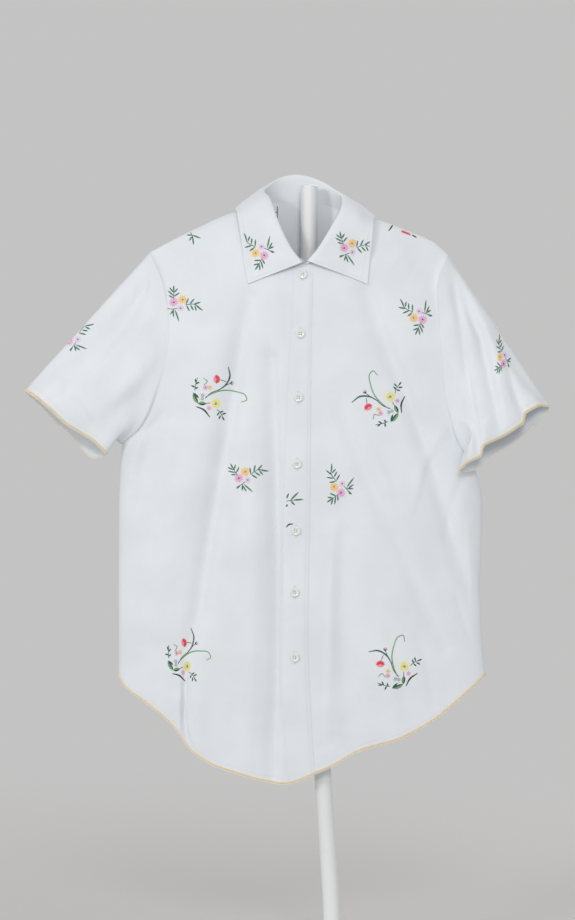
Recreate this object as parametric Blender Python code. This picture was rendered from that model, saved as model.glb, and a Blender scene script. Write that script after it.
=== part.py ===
"""An embroidered short-sleeve shirt on a T-shaped display stand.

Metres, +Z up. The origin is the middle of the stand's underside, X runs to the viewer's
right and the shirt's front faces -Y. Left and right are the viewer's. The tables below
are in millimetres, like a pattern sheet, and every cloth piece is a wall of even thickness
round a middle surface.
"""

import math

import bmesh
import bpy
import numpy as np

MM = 0.001

# Cloth
CLOTH = 1.4                 # thickness of every cloth wall
SEAM = 0.3                  # gap where two pieces meet
EDGING = 4.0                # height of the looped edging under the hem and round the cuffs
EDGING_THICK = 2.0
EDGING_GAP = 0.9

# Depth of the hanging shirt, measured from the plane of its side and shoulder seams
FRONT_DEPTH = 41.0
BACK_DEPTH = 33.0
HEM_FRONT_DEPTH = 31.0
HEM_BACK_DEPTH = 29.0
ARMHOLE_DEPTH = 27.0
BACK_NECK_DEPTH = 29.0

# Rows and columns of the panels. ARM_ROW and NECK_ROW are heights up a panel, from 0 at
# the hem to 1 at the shoulder, where the armhole and the neckline start.
ARM_ROW = 0.58
NECK_ROW = 0.80
SIDE_ROWS, CHEST_ROWS, YOKE_ROWS = 13, 6, 7
HALF_COLUMNS = 16
NECK_COLUMNS = 10
SLEEVE_RINGS = 10
ARMHOLE_EASE = 0.12         # share of the armhole in which a panel's edge goes from round to flat

# Outlines as (x, z). Side seams run up from the hem, armholes up from the underarm.
SIDE_LEFT = [(-277, 364), (-277, 440), (-277, 519), (-276, 600), (-272, 666)]
SIDE_RIGHT = [(199, 364), (194, 420), (192, 480), (194, 540), (194, 600), (184, 640)]
ARMHOLE_LEFT = [(-272, 666), (-247, 690), (-228, 728), (-215, 780), (-213, 832), (-220, 873), (-237, 913)]
ARMHOLE_RIGHT = [(184, 640), (166, 662), (152, 700), (143, 767), (138, 830), (138, 878), (151, 909)]
SHOULDER_LEFT = [(-95, 974), (-125, 966), (-185, 940), (-237, 913)]
SHOULDER_RIGHT = [(18, 964), (53, 957), (101, 940), (135, 924), (151, 909)]
CENTRE_FRONT = [(-40, 226), (-45, 300), (-49, 410), (-47, 553), (-44, 724), (-38, 894)]
HEM_LEFT = [(-40, 226), (-60, 225), (-86, 228), (-122, 238), (-160, 252), (-186, 272), (-204, 298),
            (-240, 328), (-270, 352), (-277, 364)]
HEM_RIGHT = [(-40, 226), (-20, 239), (0, 248), (30, 265), (90, 284), (130, 306), (164, 333), (199, 364)]
HEM_BACK = [(-277, 364), (-240, 336), (-200, 302), (-122, 262), (-40, 246), (40, 268), (90, 290),
            (130, 312), (164, 337), (199, 364)]
NECK_LEFT = [(-38, 894), (-58, 911), (-77, 941), (-88, 961), (-95, 974)]
NECK_RIGHT = [(-38, 894), (-18, 909), (0, 932), (13, 952), (18, 964)]
NECK_BACK = [(-95, 974), (-85, 978), (-62, 981), (-38, 981), (-12, 978), (8, 971), (18, 964)]

# Folds of the front and the back: route as (x, z), half width, and height of the ridge,
# which is below zero for a trough
FOLDS_FRONT = [
    {"route": [(42, 872), (88, 764), (126, 657), (168, 540), (192, 462)], "width": 20, "height": -8},
    {"route": [(22, 860), (58, 750), (92, 640), (128, 520), (150, 430)], "width": 26, "height": 7},
    {"route": [(-108, 868), (-124, 722), (-142, 600), (-165, 490), (-186, 392)], "width": 20, "height": -9},
    {"route": [(-138, 850), (-158, 722), (-180, 600), (-206, 490), (-222, 400)], "width": 22, "height": 7},
    {"route": [(-196, 360), (-194, 310), (-190, 262)], "width": 16, "height": -8},
    {"route": [(6, 460), (8, 350), (14, 250)], "width": 22, "height": -6},
    {"route": [(-82, 760), (-82, 560), (-80, 380), (-82, 235)], "width": 18, "height": -5},
]
FOLDS_BACK = [
    {"route": [(-150, 900), (-160, 760), (-186, 600), (-214, 420)], "width": 20, "height": -7},
    {"route": [(80, 900), (92, 760), (112, 600), (140, 430)], "width": 20, "height": -7},
    {"route": [(-80, 900), (-88, 700), (-96, 480), (-100, 270)], "width": 24, "height": 6},
    {"route": [(10, 900), (16, 700), (26, 480), (36, 290)], "width": 22, "height": 6},
    {"route": [(-36, 860), (-38, 640), (-36, 420), (-32, 270)], "width": 18, "height": -5},
]

# Cuffs: the ends of the front edge as (x, y, z), half the depth of the opening, how far
# the back edge hangs past the front one, how strongly the sleeve's underside leaves the
# armhole straight out, and the ridges that run down the sleeve: turn round the cuff
# (0 top, 0.25 front, 0.5 under), half width in turns, height
CUFF_LEFT = {"top": (-396, -6, 736), "under": (-288, -20, 656), "depth": 21, "drop": 13, "puff": 25,
             "ridges": [(0.15, 0.05, 5), (0.33, 0.06, -4), (0.72, 0.09, 4)]}
CUFF_RIGHT = {"top": (279, -14, 715), "under": (160, -46, 636), "depth": 20, "drop": 13, "puff": 100,
              "ridges": [(0.10, 0.035, 7), (0.17, 0.035, -5), (0.33, 0.05, -5), (0.42, 0.03, 6),
                         (0.75, 0.08, 4)]}
CUFF_FLOW = 80.0            # how strongly the underside turns to the sleeve's own direction at the cuff

# Collar: station along the neckline (0 left end, 1 left shoulder, 2 right shoulder,
# 3 right end), the fold at its top and its outer edge, both as (x, y, z)
COLLAR = [
    {"at": 0.00, "fold": (-39, -49, 897), "edge": (-109, -48, 870)},
    {"at": 0.30, "fold": (-54, -47, 917), "edge": (-114, -46, 900)},
    {"at": 0.60, "fold": (-69, -40, 948), "edge": (-118, -38, 931)},
    {"at": 0.85, "fold": (-81, -22, 982), "edge": (-123, -21, 962)},
    {"at": 1.00, "fold": (-88, -3, 992), "edge": (-125, 2, 971)},
    {"at": 1.20, "fold": (-78, 16, 1005), "edge": (-116, 24, 966)},
    {"at": 1.35, "fold": (-63, 28, 1014), "edge": (-90, 37, 963)},
    {"at": 1.50, "fold": (-43, 32, 1017), "edge": (-40, 42, 961)},
    {"at": 1.65, "fold": (-18, 28, 1010), "edge": (8, 37, 959)},
    {"at": 1.80, "fold": (1, 15, 997), "edge": (36, 24, 957)},
    {"at": 2.00, "fold": (13, -3, 984), "edge": (54, 2, 962)},
    {"at": 2.15, "fold": (11, -22, 968), "edge": (53, -20, 952)},
    {"at": 2.40, "fold": (-3, -40, 941), "edge": (50, -38, 920)},
    {"at": 2.70, "fold": (-18, -47, 916), "edge": (47, -46, 894)},
    {"at": 3.00, "fold": (-32, -49, 899), "edge": (45, -48, 870)},
]
COLLAR_ROLL = 3.0           # how far the fall bows out between the fold and its edge

# Placket and buttons
PLACKET_SHARE = 0.068       # half the placket's width, as a share of a front's
PLACKET_TOP = 884.0
PLACKET_GAP = 0.5
BUTTON_WIDTH = 11.5
BUTTON_THICK = 2.6
BUTTON_HEIGHTS = [882, 806, 724, 638, 552, 473, 389]

# Stand
POLE_ROUTE = [(0, 0, 8.3), (-0.3, 0, 45), (-5, 1, 130), (-12, 2, 234), (-24, 4, 420), (-30, 4, 600),
              (-30, 4, 800), (-30, 4, 1000)]
POLE_WIDTH = 22.0
BAR_LEFT, BAR_RIGHT = (-232, 2, 902), (146, 2, 896)
BAR_WIDTH = 15.0
BASE_WIDTH, BASE_THICK = 260.0, 8.0
SOCKET_WIDTH, SOCKET_HEIGHT = 34.0, 26.0


def clear_scene():
    for obj in list(bpy.data.objects):
        bpy.data.objects.remove(obj, do_unlink=True)


def material(name, colour, roughness, metallic=0.0):
    made = bpy.data.materials.new(name)
    made.use_nodes = True
    shader = made.node_tree.nodes["Principled BSDF"]
    shader.inputs["Base Color"].default_value = (*colour, 1.0)
    shader.inputs["Roughness"].default_value = roughness
    shader.inputs["Metallic"].default_value = metallic
    return made


def through(rows):
    """A smooth curve through the rows, as a function of the way along it, from 0 to 1."""
    rows = np.array(rows, float)
    run = np.r_[0, np.cumsum(np.linalg.norm(np.diff(rows, axis=0), axis=1))]
    return graph(run / run[-1], rows)


def graph(places, rows):
    """A smooth curve that is at rows[i] where its argument is places[i]."""
    places, rows = np.array(places, float), np.array(rows, float)
    slope = np.gradient(rows, places, axis=0)

    def value(t):
        t = np.clip(np.asarray(t, float), places[0], places[-1])
        i = np.clip(np.searchsorted(places, t, side="right") - 1, 0, len(places) - 2)
        span = (places[i + 1] - places[i])[..., None]
        f = (t - places[i])[..., None] / span
        return ((2 * f**3 - 3 * f**2 + 1) * rows[i] + (f**3 - 2 * f**2 + f) * span * slope[i]
                + (3 * f**2 - 2 * f**3) * rows[i + 1] + (f**3 - f**2) * span * slope[i + 1])

    return value


def unit(vectors):
    return vectors / np.maximum(np.linalg.norm(vectors, axis=-1, keepdims=True), 1e-9)


def panel_columns():
    """Columns from a front's centre to its side: one at the placket's edge, then closer towards the side."""
    turns = np.linspace(0, 1, HALF_COLUMNS)
    return np.r_[0, PLACKET_SHARE + (1 - PLACKET_SHARE) * (0.4 * turns + 0.6 * np.sin(turns * math.pi / 2))]


def quarter(count):
    """Numbers from 0 to 1 that crowd together at 1, as steps round a quarter circle do."""
    return np.sin(np.linspace(0, math.pi / 2, count + 1))


def row_heights():
    """The heights of a panel's rows: even up to the neckline, then crowded at the shoulder."""
    side = np.linspace(0, ARM_ROW, SIDE_ROWS + 1)
    chest = np.linspace(ARM_ROW, NECK_ROW, CHEST_ROWS + 1)[1:]
    yoke = NECK_ROW + (1 - NECK_ROW) * quarter(YOKE_ROWS)[1:]
    return np.r_[side, chest, yoke]


ROWS = row_heights()


def edge_of_side(rows, side, armhole):
    """The outer edge of a panel: its side seam up to the underarm, then its armhole."""
    below = through(side)(rows / ARM_ROW)
    above = through(armhole)((rows - ARM_ROW) / (1 - ARM_ROW))
    return np.where((rows < ARM_ROW)[:, None], below, above)


def edge_of_centre(rows, neck):
    """The inner edge of a front: the centre line up to the neck, then the neckline."""
    below = through(CENTRE_FRONT)(rows / NECK_ROW)
    above = through(neck)((rows - NECK_ROW) / (1 - NECK_ROW))
    return np.where((rows < NECK_ROW)[:, None], below, above)


def shoulder_fade(rows):
    """1 up to the neckline's start, then down to 0 at the shoulder seam, like a quarter circle."""
    climb = np.clip((rows - NECK_ROW) / (1 - NECK_ROW), 0, 1)
    return np.sqrt(1 - climb**2)


def armhole_depth(rows):
    """How far the armhole's edge stands from the seams' plane: 0 at the underarm and the tip."""
    opening = np.clip((NECK_ROW - rows) / (NECK_ROW - ARM_ROW), 0, 1)
    return ARMHOLE_DEPTH * np.sqrt(1 - opening**2) * shoulder_fade(rows)


def side_rounding(across, rows):
    """0 at a panel's outer edge, 1 at its middle: a quarter circle at the side seam, flatter at the armhole."""
    up_armhole = np.clip((rows - ARM_ROW) / (1 - ARM_ROW) / ARMHOLE_EASE, 0, 1)
    return (1 - across[:, None] ** 2) ** (0.5 + 0.6 * up_armhole[None, :])


def patch(inner, outer, bottom, top, ends, across, rows):
    """Points between four edges: grid[column, row] as (x, z). ends holds the bottom and the top corners."""
    a, r = across[:, None, None], rows[None, :, None]
    (low_inner, low_outer), (high_inner, high_outer) = np.array(ends, float)
    between_sides = (1 - a) * inner[None] + a * outer[None]
    between_ends = (1 - r) * bottom[:, None] + r * top[:, None]
    corners = ((1 - r) * ((1 - a) * low_inner + a * low_outer)
               + r * ((1 - a) * high_inner + a * high_outer))
    return between_sides + between_ends - corners


def fold_relief(flat, folds):
    """The folds' height at each (x, z): a soft ridge or trough along each route, fading at its ends."""
    total = np.zeros(flat.shape[:-1])
    for fold in folds:
        steps = np.linspace(0, 1, 25)
        line = through(fold["route"])(steps)
        gap = np.linalg.norm(flat[..., None, :] - line, axis=-1)
        nearest = gap.argmin(axis=-1)
        along = steps[nearest]
        fade = np.sin(math.pi * np.clip(0.12 + 0.80 * along, 0, 1)) ** 0.6
        total += fold["height"] * fade * np.exp(-(gap.min(axis=-1) / fold["width"]) ** 2)
    return total


def quiet_edges(across, rows):
    """1 inside a panel, 0 at its side seam, armhole and shoulder, so that seams stay true."""
    sideways = 1 - across[:, None] ** 8
    upward = 1 - np.clip((rows[None, :] - 0.86) / 0.14, 0, 1) ** 2
    return sideways * upward


def front_surface(side, across, rows):
    """Middle surface of a half front, grid[column, row] as (x, y, z), from the centre outwards."""
    if side == "left":
        outer = edge_of_side(rows, SIDE_LEFT, ARMHOLE_LEFT)
        inner, hem, shoulder = edge_of_centre(rows, NECK_LEFT), HEM_LEFT, SHOULDER_LEFT
    else:
        outer = edge_of_side(rows, SIDE_RIGHT, ARMHOLE_RIGHT)
        inner, hem, shoulder = edge_of_centre(rows, NECK_RIGHT), HEM_RIGHT, SHOULDER_RIGHT
    ends = (hem[0], hem[-1]), (shoulder[0], shoulder[-1])
    flat = patch(inner, outer, through(hem)(across), through(shoulder)(across), ends, across, rows)
    flat[..., 1] += EDGING * (1 - rows) ** 6
    climb = np.clip(rows / NECK_ROW, 0, 1)
    middle = (HEM_FRONT_DEPTH + (FRONT_DEPTH - HEM_FRONT_DEPTH) * climb) * shoulder_fade(rows)
    arm = armhole_depth(rows)
    depth = arm + (middle - arm) * side_rounding(across, rows)
    depth += fold_relief(flat, FOLDS_FRONT) * quiet_edges(across, rows)
    depth = np.maximum(depth, SEAM / 2)
    return np.stack([flat[..., 0], -depth, flat[..., 1]], axis=-1)


def back_columns():
    """Where the back's columns stand: across it from -1 to 1, and at its top edge."""
    shoulder = HALF_COLUMNS - NECK_COLUMNS // 2
    turns = np.linspace(-1, 1, 2 * HALF_COLUMNS + 1)
    across = np.sin(turns * math.pi / 2)
    way = np.linspace(0, 1, shoulder + 1)
    left = through(SHOULDER_LEFT)(1 - way)
    neck = through(NECK_BACK)(np.linspace(0, 1, NECK_COLUMNS + 1))[1:-1]
    right = through(SHOULDER_RIGHT)(way)
    return across, np.r_[left, neck, right]


def neck_swell():
    """How far the back's top edge stands out at each column: only along the neckline."""
    place = np.arange(-HALF_COLUMNS, HALF_COLUMNS + 1) / (NECK_COLUMNS / 2)
    return BACK_NECK_DEPTH * np.sqrt(np.clip(1 - place**2, 0, 1))


def back_surface(rows):
    across, top = back_columns()
    left = edge_of_side(rows, SIDE_LEFT, ARMHOLE_LEFT)
    right = edge_of_side(rows, SIDE_RIGHT, ARMHOLE_RIGHT)
    hem = through(HEM_BACK)((across + 1) / 2)
    ends = (HEM_BACK[0], HEM_BACK[-1]), (SHOULDER_LEFT[-1], SHOULDER_RIGHT[-1])
    flat = patch(left, right, hem, top, ends, (across + 1) / 2, rows)
    flat[..., 1] += EDGING * (1 - rows) ** 6
    climb = np.clip(rows / NECK_ROW, 0, 1)
    middle = HEM_BACK_DEPTH + (BACK_DEPTH - HEM_BACK_DEPTH) * climb
    arm = armhole_depth(rows)
    fade = shoulder_fade(rows)
    depth = arm + (middle * fade - arm) * side_rounding(across, rows)
    depth = np.hypot(depth, neck_swell()[:, None] * np.sqrt(1 - fade**2))
    depth += fold_relief(flat, FOLDS_BACK) * quiet_edges(np.abs(across), rows)
    depth = np.maximum(depth, SEAM / 2)
    return np.stack([flat[..., 0], depth, flat[..., 1]], axis=-1)


def normals(points, outward, ring=False):
    """Unit normals of a grid of points, turned so that most of them agree with outward."""
    if ring:
        first = (np.roll(points, -1, axis=0) - np.roll(points, 1, axis=0)) / 2
    else:
        first = np.gradient(points, axis=0)
    made = unit(np.cross(first, np.gradient(points, axis=1)))
    return made if (made * outward).sum() > 0 else -made


def in_seam_plane(vectors):
    """The same directions laid into the plane of the side and shoulder seams."""
    flat = vectors.copy()
    flat[..., 1] = 0
    return unit(flat)


def wall(name, points, directions, thickness, finish, ring=False):
    """A closed wall of even thickness round a grid of points, as an object."""
    half = directions * thickness / 2
    outside, inside = (points + half) * MM, (points - half) * MM
    columns, rows = points.shape[:2]
    mesh = bmesh.new()
    out = [[mesh.verts.new(p) for p in column] for column in outside]
    back = [[mesh.verts.new(p) for p in column] for column in inside]
    last = columns if ring else columns - 1
    for i in range(last):
        j = (i + 1) % columns
        for k in range(rows - 1):
            mesh.faces.new((out[i][k], out[j][k], out[j][k + 1], out[i][k + 1]))
            mesh.faces.new((back[i][k + 1], back[j][k + 1], back[j][k], back[i][k]))
        mesh.faces.new((back[i][0], back[j][0], out[j][0], out[i][0]))
        mesh.faces.new((out[i][-1], out[j][-1], back[j][-1], back[i][-1]))
    if not ring:
        for k in range(rows - 1):
            mesh.faces.new((out[0][k], out[0][k + 1], back[0][k + 1], back[0][k]))
            mesh.faces.new((back[-1][k], back[-1][k + 1], out[-1][k + 1], out[-1][k]))
    return finished(name, mesh, finish)


def finished(name, mesh, finish, sharp=50):
    if mesh.calc_volume(signed=True) < 0:
        bmesh.ops.reverse_faces(mesh, faces=mesh.faces)
    data = bpy.data.meshes.new(name)
    mesh.to_mesh(data)
    mesh.free()
    data.shade_smooth()
    data.set_sharp_from_angle(angle=math.radians(sharp))
    data.materials.append(finish)
    obj = bpy.data.objects.new(name, data)
    bpy.context.scene.collection.objects.link(obj)
    return obj


def neck_seam(station):
    """The neckline as (x, y, z): 0 left end, 1 left shoulder, 2 right shoulder, 3 right end."""
    station = np.asarray(station, float)
    left, back = through(NECK_LEFT)(station), through(NECK_BACK)(station - 1)
    right = through(NECK_RIGHT)(3 - station)
    front_y = -FRONT_DEPTH * np.sqrt(np.clip(1 - np.minimum(station, 3 - station) ** 2, 0, 1))
    back_y = BACK_NECK_DEPTH * np.sqrt(np.clip(1 - (2 * station - 3) ** 2, 0, 1))
    at_back = (station > 1) & (station < 2)
    flat = np.where((station <= 1)[:, None], left, np.where((station < 2)[:, None], back, right))
    return np.stack([flat[:, 0], np.where(at_back, back_y, front_y), flat[:, 1]], axis=-1)


def collar_stations():
    """The panels' own rows and columns along the neckline, so that the seams match."""
    climb = quarter(YOKE_ROWS)
    behind = np.linspace(1, 2, NECK_COLUMNS + 1)
    return np.r_[climb[:-1], behind, 3 - climb[::-1][1:]]


def collar_surface(stations):
    """Middle surface of the collar: up its stand, over the fold and down its fall."""
    places = [row["at"] for row in COLLAR]
    fold = graph(places, [row["fold"] for row in COLLAR])(stations)
    edge = graph(places, [row["edge"] for row in COLLAR])(stations)
    seam = neck_seam(stations)
    along = unit(np.gradient(fold, axis=0))
    out = unit(np.cross(edge - fold, along))
    heart = np.array([-38.0, 0.0, 940.0])
    out *= np.where(((fold - heart) * out).sum(axis=-1) < 0, -1, 1)[:, None]
    up = unit(fold - (seam + edge) / 2)
    stand_top = fold - 3.0 * up - 2.6 * out
    fall_top = fold - 3.0 * up + 2.6 * out
    fall_middle = (fold + edge) / 2 + COLLAR_ROLL * out
    stand_middle = (seam + stand_top) / 2
    rows = np.stack([seam, stand_middle, stand_top, fold, fall_top, fall_middle, edge], axis=1)
    places = [0, 0.14, 0.30, 0.40, 0.50, 0.75, 1]
    across = [0, 0.15, 0.30, 0.35, 0.40, 0.45, 0.50, 0.62, 0.80, 1.0]
    return np.stack([graph(places, line)(across) for line in rows])


def hem_strip(points, directions, down, height, thickness, name, finish, ring=False):
    """The looped edging: a narrow wall that carries a hem's edge on, just below it."""
    rows = np.stack([points + down * EDGING_GAP, points + down * height], axis=1)
    doubled = np.stack([directions, directions], axis=1)
    return wall(name, rows, doubled, thickness, finish, ring)


def sleeve_root(side, rows):
    """The armhole as a loop of (x, y, z): down the front from the shoulder tip, up the back."""
    outer = (edge_of_side(rows, SIDE_LEFT, ARMHOLE_LEFT) if side == "left"
             else edge_of_side(rows, SIDE_RIGHT, ARMHOLE_RIGHT))
    depth = armhole_depth(rows)
    down = np.stack([outer[:, 0], -depth, outer[:, 1]], axis=-1)[::-1]
    up = np.stack([outer[:, 0], depth, outer[:, 1]], axis=-1)[1:-1]
    return np.r_[down, up]


def cuff_loop(cuff, count):
    """The cuff's edge as a loop of count points that start at its top and go down the front."""
    turn = np.arange(count) / count
    top, under = np.array(cuff["top"], float), np.array(cuff["under"], float)
    middle, reach = (top + under) / 2, (top - under) / 2
    outward = unit(np.array([-reach[2], 0, reach[0]]))
    outward *= np.sign(outward[2]) * -1
    round_, front = np.cos(math.tau * turn)[:, None], np.sin(math.tau * turn)[:, None]
    loop = middle + reach * round_ - np.array([0, cuff["depth"], 0]) * front
    loop += outward * cuff["drop"] * (1 - front) / 2 * np.sqrt(np.clip(1 - round_**2, 0, 1))
    return loop, turn, outward


def sleeve_surface(side, cuff, rows, rings):
    """Middle surface of a sleeve, grid[round, ring], from the armhole to the cuff."""
    root = sleeve_root(side, rows)
    loop, turn, outward = cuff_loop(cuff, len(root))
    way = np.linspace(0, 1, rings + 1)[None, :, None]
    ease = way * way * (3 - 2 * way)
    grid = root[:, None] * (1 - way) + loop[:, None] * way
    grid[..., 1] += ((loop[:, None, 1] - root[:, None, 1]) * (ease - way)[..., 0])
    along = np.roll(root, -1, axis=0) - np.roll(root, 1, axis=0)
    leave = unit(np.cross(along, root - root.mean(axis=0)))
    leave *= 1 if (leave * (loop - root)).sum() > 0 else -1
    below = (0.5 - 0.5 * np.cos(math.tau * turn)) ** 2
    grid += leave[:, None] * cuff["puff"] * below[:, None, None] * way * (1 - way)
    grid -= outward * CUFF_FLOW * below[:, None, None] * way**2 * (1 - way)
    bulge = normals(grid, grid - grid.mean(axis=0, keepdims=True), ring=True)
    swell = np.zeros(grid.shape[:2])
    for place, width, height in cuff["ridges"]:
        away = np.abs((turn - place + 0.5) % 1 - 0.5)
        swell += height * np.exp(-(away / width) ** 2)[:, None] * ease[..., 0]
    return grid + bulge * swell[..., None], outward


def seam_directions(root, panel_side, sleeve_side):
    """Wall directions that both pieces share at an armhole: between the two walls' own."""
    shared = unit(panel_side + sleeve_side)
    across = unit(np.cross(np.roll(root, -1, axis=0) - np.roll(root, 1, axis=0), shared))
    return shared, across


def buttons(finish):
    """Seven round shirt buttons down the placket, each a turned disc with a raised rim."""
    radius, rim = BUTTON_WIDTH / 2, BUTTON_THICK
    profile = [(0, 0), (radius * 0.82, 0), (radius, rim * 0.35), (radius, rim * 0.75), (radius * 0.88, rim),
               (radius * 0.70, rim * 0.8), (radius * 0.60, rim * 0.62), (0, rim * 0.62)]
    rows = np.linspace(0, NECK_ROW, 200)
    centre = front_surface("right", np.zeros(1), rows)[0]
    proud = CLOTH / 2 + PLACKET_GAP + CLOTH + SEAM
    for number, height in enumerate(BUTTON_HEIGHTS, 1):
        x, y = (np.interp(height, centre[:, 2], centre[:, axis]) for axis in (0, 1))
        turned_disc(f"button_{number}", profile, 16, finish,
                    lambda r, c, s, h: (x + r * c, y - proud - h, height + r * s))


def turned_disc(name, profile, sides, finish, place):
    """A solid turned from (radius, height) points, put in place by a function."""
    mesh = bmesh.new()
    rings = []
    for radius, height in profile:
        if radius == 0:
            rings.append([mesh.verts.new(np.array(place(0, 0, 0, height)) * MM)])
            continue
        rings.append([mesh.verts.new(np.array(place(
            radius, math.cos(math.tau * k / sides), math.sin(math.tau * k / sides), height)) * MM)
            for k in range(sides)])
    for low, high in zip(rings, rings[1:]):
        for k in range(sides):
            j = (k + 1) % sides
            if len(low) == 1:
                mesh.faces.new((low[0], high[j], high[k]))
            elif len(high) == 1:
                mesh.faces.new((low[k], low[j], high[0]))
            else:
                mesh.faces.new((low[k], low[j], high[j], high[k]))
    return finished(name, mesh, finish)


def tube(name, route, width, sides, rings, finish):
    """A round bar with slightly domed ends along a route of (x, y, z)."""
    radius = width / 2
    line = through(route)(np.linspace(0, 1, rings))
    ahead = unit(np.gradient(line, axis=0))
    right = unit(np.cross(ahead, [0.0, 1.0, 0.0]))
    other = np.cross(ahead, right)
    mesh = bmesh.new()
    loops = []
    for centre, r, o in zip(line, right, other):
        loops.append([mesh.verts.new((centre + radius * (math.cos(a) * r + math.sin(a) * o)) * MM)
                      for a in np.arange(sides) * math.tau / sides])
    for low, high in zip(loops, loops[1:]):
        for k in range(sides):
            j = (k + 1) % sides
            mesh.faces.new((low[k], low[j], high[j], high[k]))
    foot, tip = mesh.verts.new(line[0] * MM), mesh.verts.new((line[-1] + 2 * ahead[-1]) * MM)
    for k in range(sides):
        j = (k + 1) % sides
        mesh.faces.new((loops[0][j], loops[0][k], foot))
        mesh.faces.new((loops[-1][k], loops[-1][j], tip))
    return finished(name, mesh, finish, sharp=40)


def stand(finish):
    """The T-shaped stand: a slightly bowed pole with a cross bar through it, on a round base."""
    pole = tube("stand_pole", POLE_ROUTE, POLE_WIDTH, 16, 26, finish)
    bar = tube("cross_bar", [BAR_LEFT, tuple((a + b) / 2 for a, b in zip(BAR_LEFT, BAR_RIGHT)), BAR_RIGHT],
               BAR_WIDTH, 14, 7, finish)
    bar.hide_render = True
    bar.display_type = "WIRE"
    join = pole.modifiers.new("cross bar", "BOOLEAN")
    join.operation, join.solver, join.object = "UNION", "EXACT", bar
    socket, edge = SOCKET_WIDTH / 2, BASE_WIDTH / 2
    hole = POLE_WIDTH / 2 + SEAM + 0.3
    profile = [(0, 0), (edge - 2, 0), (edge, 2), (edge, BASE_THICK - 3), (edge - 3, BASE_THICK),
               (socket + 8, BASE_THICK), (socket, BASE_THICK + 5), (socket, SOCKET_HEIGHT),
               (hole, SOCKET_HEIGHT), (hole, BASE_THICK), (0, BASE_THICK)]
    turned_disc("stand_base", profile, 48, finish,
                lambda r, c, s, h: (r * c, r * s, h))


def shirt(cloth, edging, pearl):
    across = panel_columns()
    yoke = len(ROWS) - YOKE_ROWS - 1
    arm = SIDE_ROWS
    left, right, back = front_surface("left", across, ROWS), front_surface("right", across, ROWS), \
        back_surface(ROWS)
    forward, backward = np.array([0.0, -1.0, 0.0]), np.array([0.0, 1.0, 0.0])
    left_n, right_n, back_n = normals(left, forward), normals(right, forward), normals(back, backward)

    # Every seam's two walls share the directions of their edges, so that they meet face to face.
    stations = collar_stations()
    collar = collar_surface(stations)
    collar_n = normals(collar, collar - np.array([-38.0, 0.0, 900.0]))
    count = YOKE_ROWS + 1
    neck_n = -collar_n[:, 0]
    neck_n[:count] = unit(left_n[0, yoke:] + neck_n[:count])
    neck_n[-count:] = unit(right_n[0, yoke:][::-1] + neck_n[-count:])
    first = HALF_COLUMNS - NECK_COLUMNS // 2
    behind = slice(YOKE_ROWS, YOKE_ROWS + NECK_COLUMNS + 1)
    neck_n[behind] = unit(neck_n[behind] + back_n[first:first + NECK_COLUMNS + 1, -1])

    for grid_n in (left_n, right_n):
        for edge in (grid_n[:, -1], grid_n[-1, :arm + 1]):
            edge[:] = in_seam_plane(edge)
    for column in (back_n[0, :arm + 1], back_n[-1, :arm + 1]):
        column[:] = in_seam_plane(column)
    for stretch in (back_n[:first + 1, -1], back_n[first + NECK_COLUMNS:, -1]):
        stretch[:] = in_seam_plane(stretch)
    for shoulder in (YOKE_ROWS, YOKE_ROWS + NECK_COLUMNS):
        neck_n[shoulder] = in_seam_plane(neck_n[shoulder])
    neck_n[[0, -1], 0] = 0
    neck_n = unit(neck_n)

    sleeves, outwards = {}, {}
    for side, grid_n, back_column, cuff in (("left", left_n, 0, CUFF_LEFT), ("right", right_n, -1, CUFF_RIGHT)):
        surface, outwards[side] = sleeve_surface(side, cuff, ROWS[arm:], SLEEVE_RINGS)
        surface_n = normals(surface, surface - surface.mean(axis=0, keepdims=True), ring=True)
        own = np.r_[grid_n[-1, arm:][::-1], back_n[back_column, arm:][1:-1]]
        shared, across_seam = seam_directions(surface[:, 0], own, surface_n[:, 0])
        tip, underarm = 0, len(ROWS) - 1 - arm
        shared = unit(shared + 0.4 * (np.roll(shared, 1, axis=0) + np.roll(shared, -1, axis=0)))
        for corner in (tip, underarm):
            shared[corner] = in_seam_plane(shared[corner])
        toward = np.sign((across_seam * (surface[:, 1] - surface[:, 0])).sum())
        surface[:, 0] += across_seam * toward * SEAM
        surface_n[:, 0] = shared
        half = underarm + 1
        grid_n[-1, arm:] = shared[:half][::-1]
        back_n[back_column, arm:] = np.r_[shared[underarm:], shared[:1]]
        sleeves[side] = surface, surface_n

    left_n[0, yoke:] = neck_n[:count]
    right_n[0, yoke:] = neck_n[-count:][::-1]
    back_n[first:first + NECK_COLUMNS + 1, -1] = neck_n[behind]
    collar_n[:, 0] = -neck_n
    collar[:, 0] += unit(collar[:, 1] - collar[:, 0]) * SEAM

    # The two fronts meet under the placket.
    left[0, :yoke + 1, 0] -= SEAM / 2
    right[0, :yoke + 1, 0] += SEAM / 2

    wall("front_left", left, left_n, CLOTH, cloth)
    wall("front_right", right, right_n, CLOTH, cloth)
    wall("back", back, back_n, CLOTH, cloth)
    wall("collar", collar, collar_n, CLOTH, cloth)
    for side, (surface, surface_n) in sleeves.items():
        wall(f"sleeve_{side}", surface, surface_n, CLOTH, cloth, ring=True)
        down = unit(unit(surface[:, -1] - surface[:, -2]) + 1.5 * outwards[side])
        hem_strip(surface[:, -1], surface_n[:, -1], down, EDGING, EDGING_THICK,
                  f"cuff_edging_{side}", edging, ring=True)

    hem = np.r_[left[:-1, 0], back[:, 0], right[:-1, 0][::-1]]
    above = np.r_[left[:-1, 1], back[:, 1], right[:-1, 1][::-1]]
    hem_n = np.r_[left_n[:-1, 0], back_n[:, 0], right_n[:-1, 0][::-1]]
    hem_strip(hem, hem_n, unit(hem - above), EDGING, EDGING_THICK, "hem_edging", edging)

    placket(cloth)
    buttons(pearl)


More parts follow.
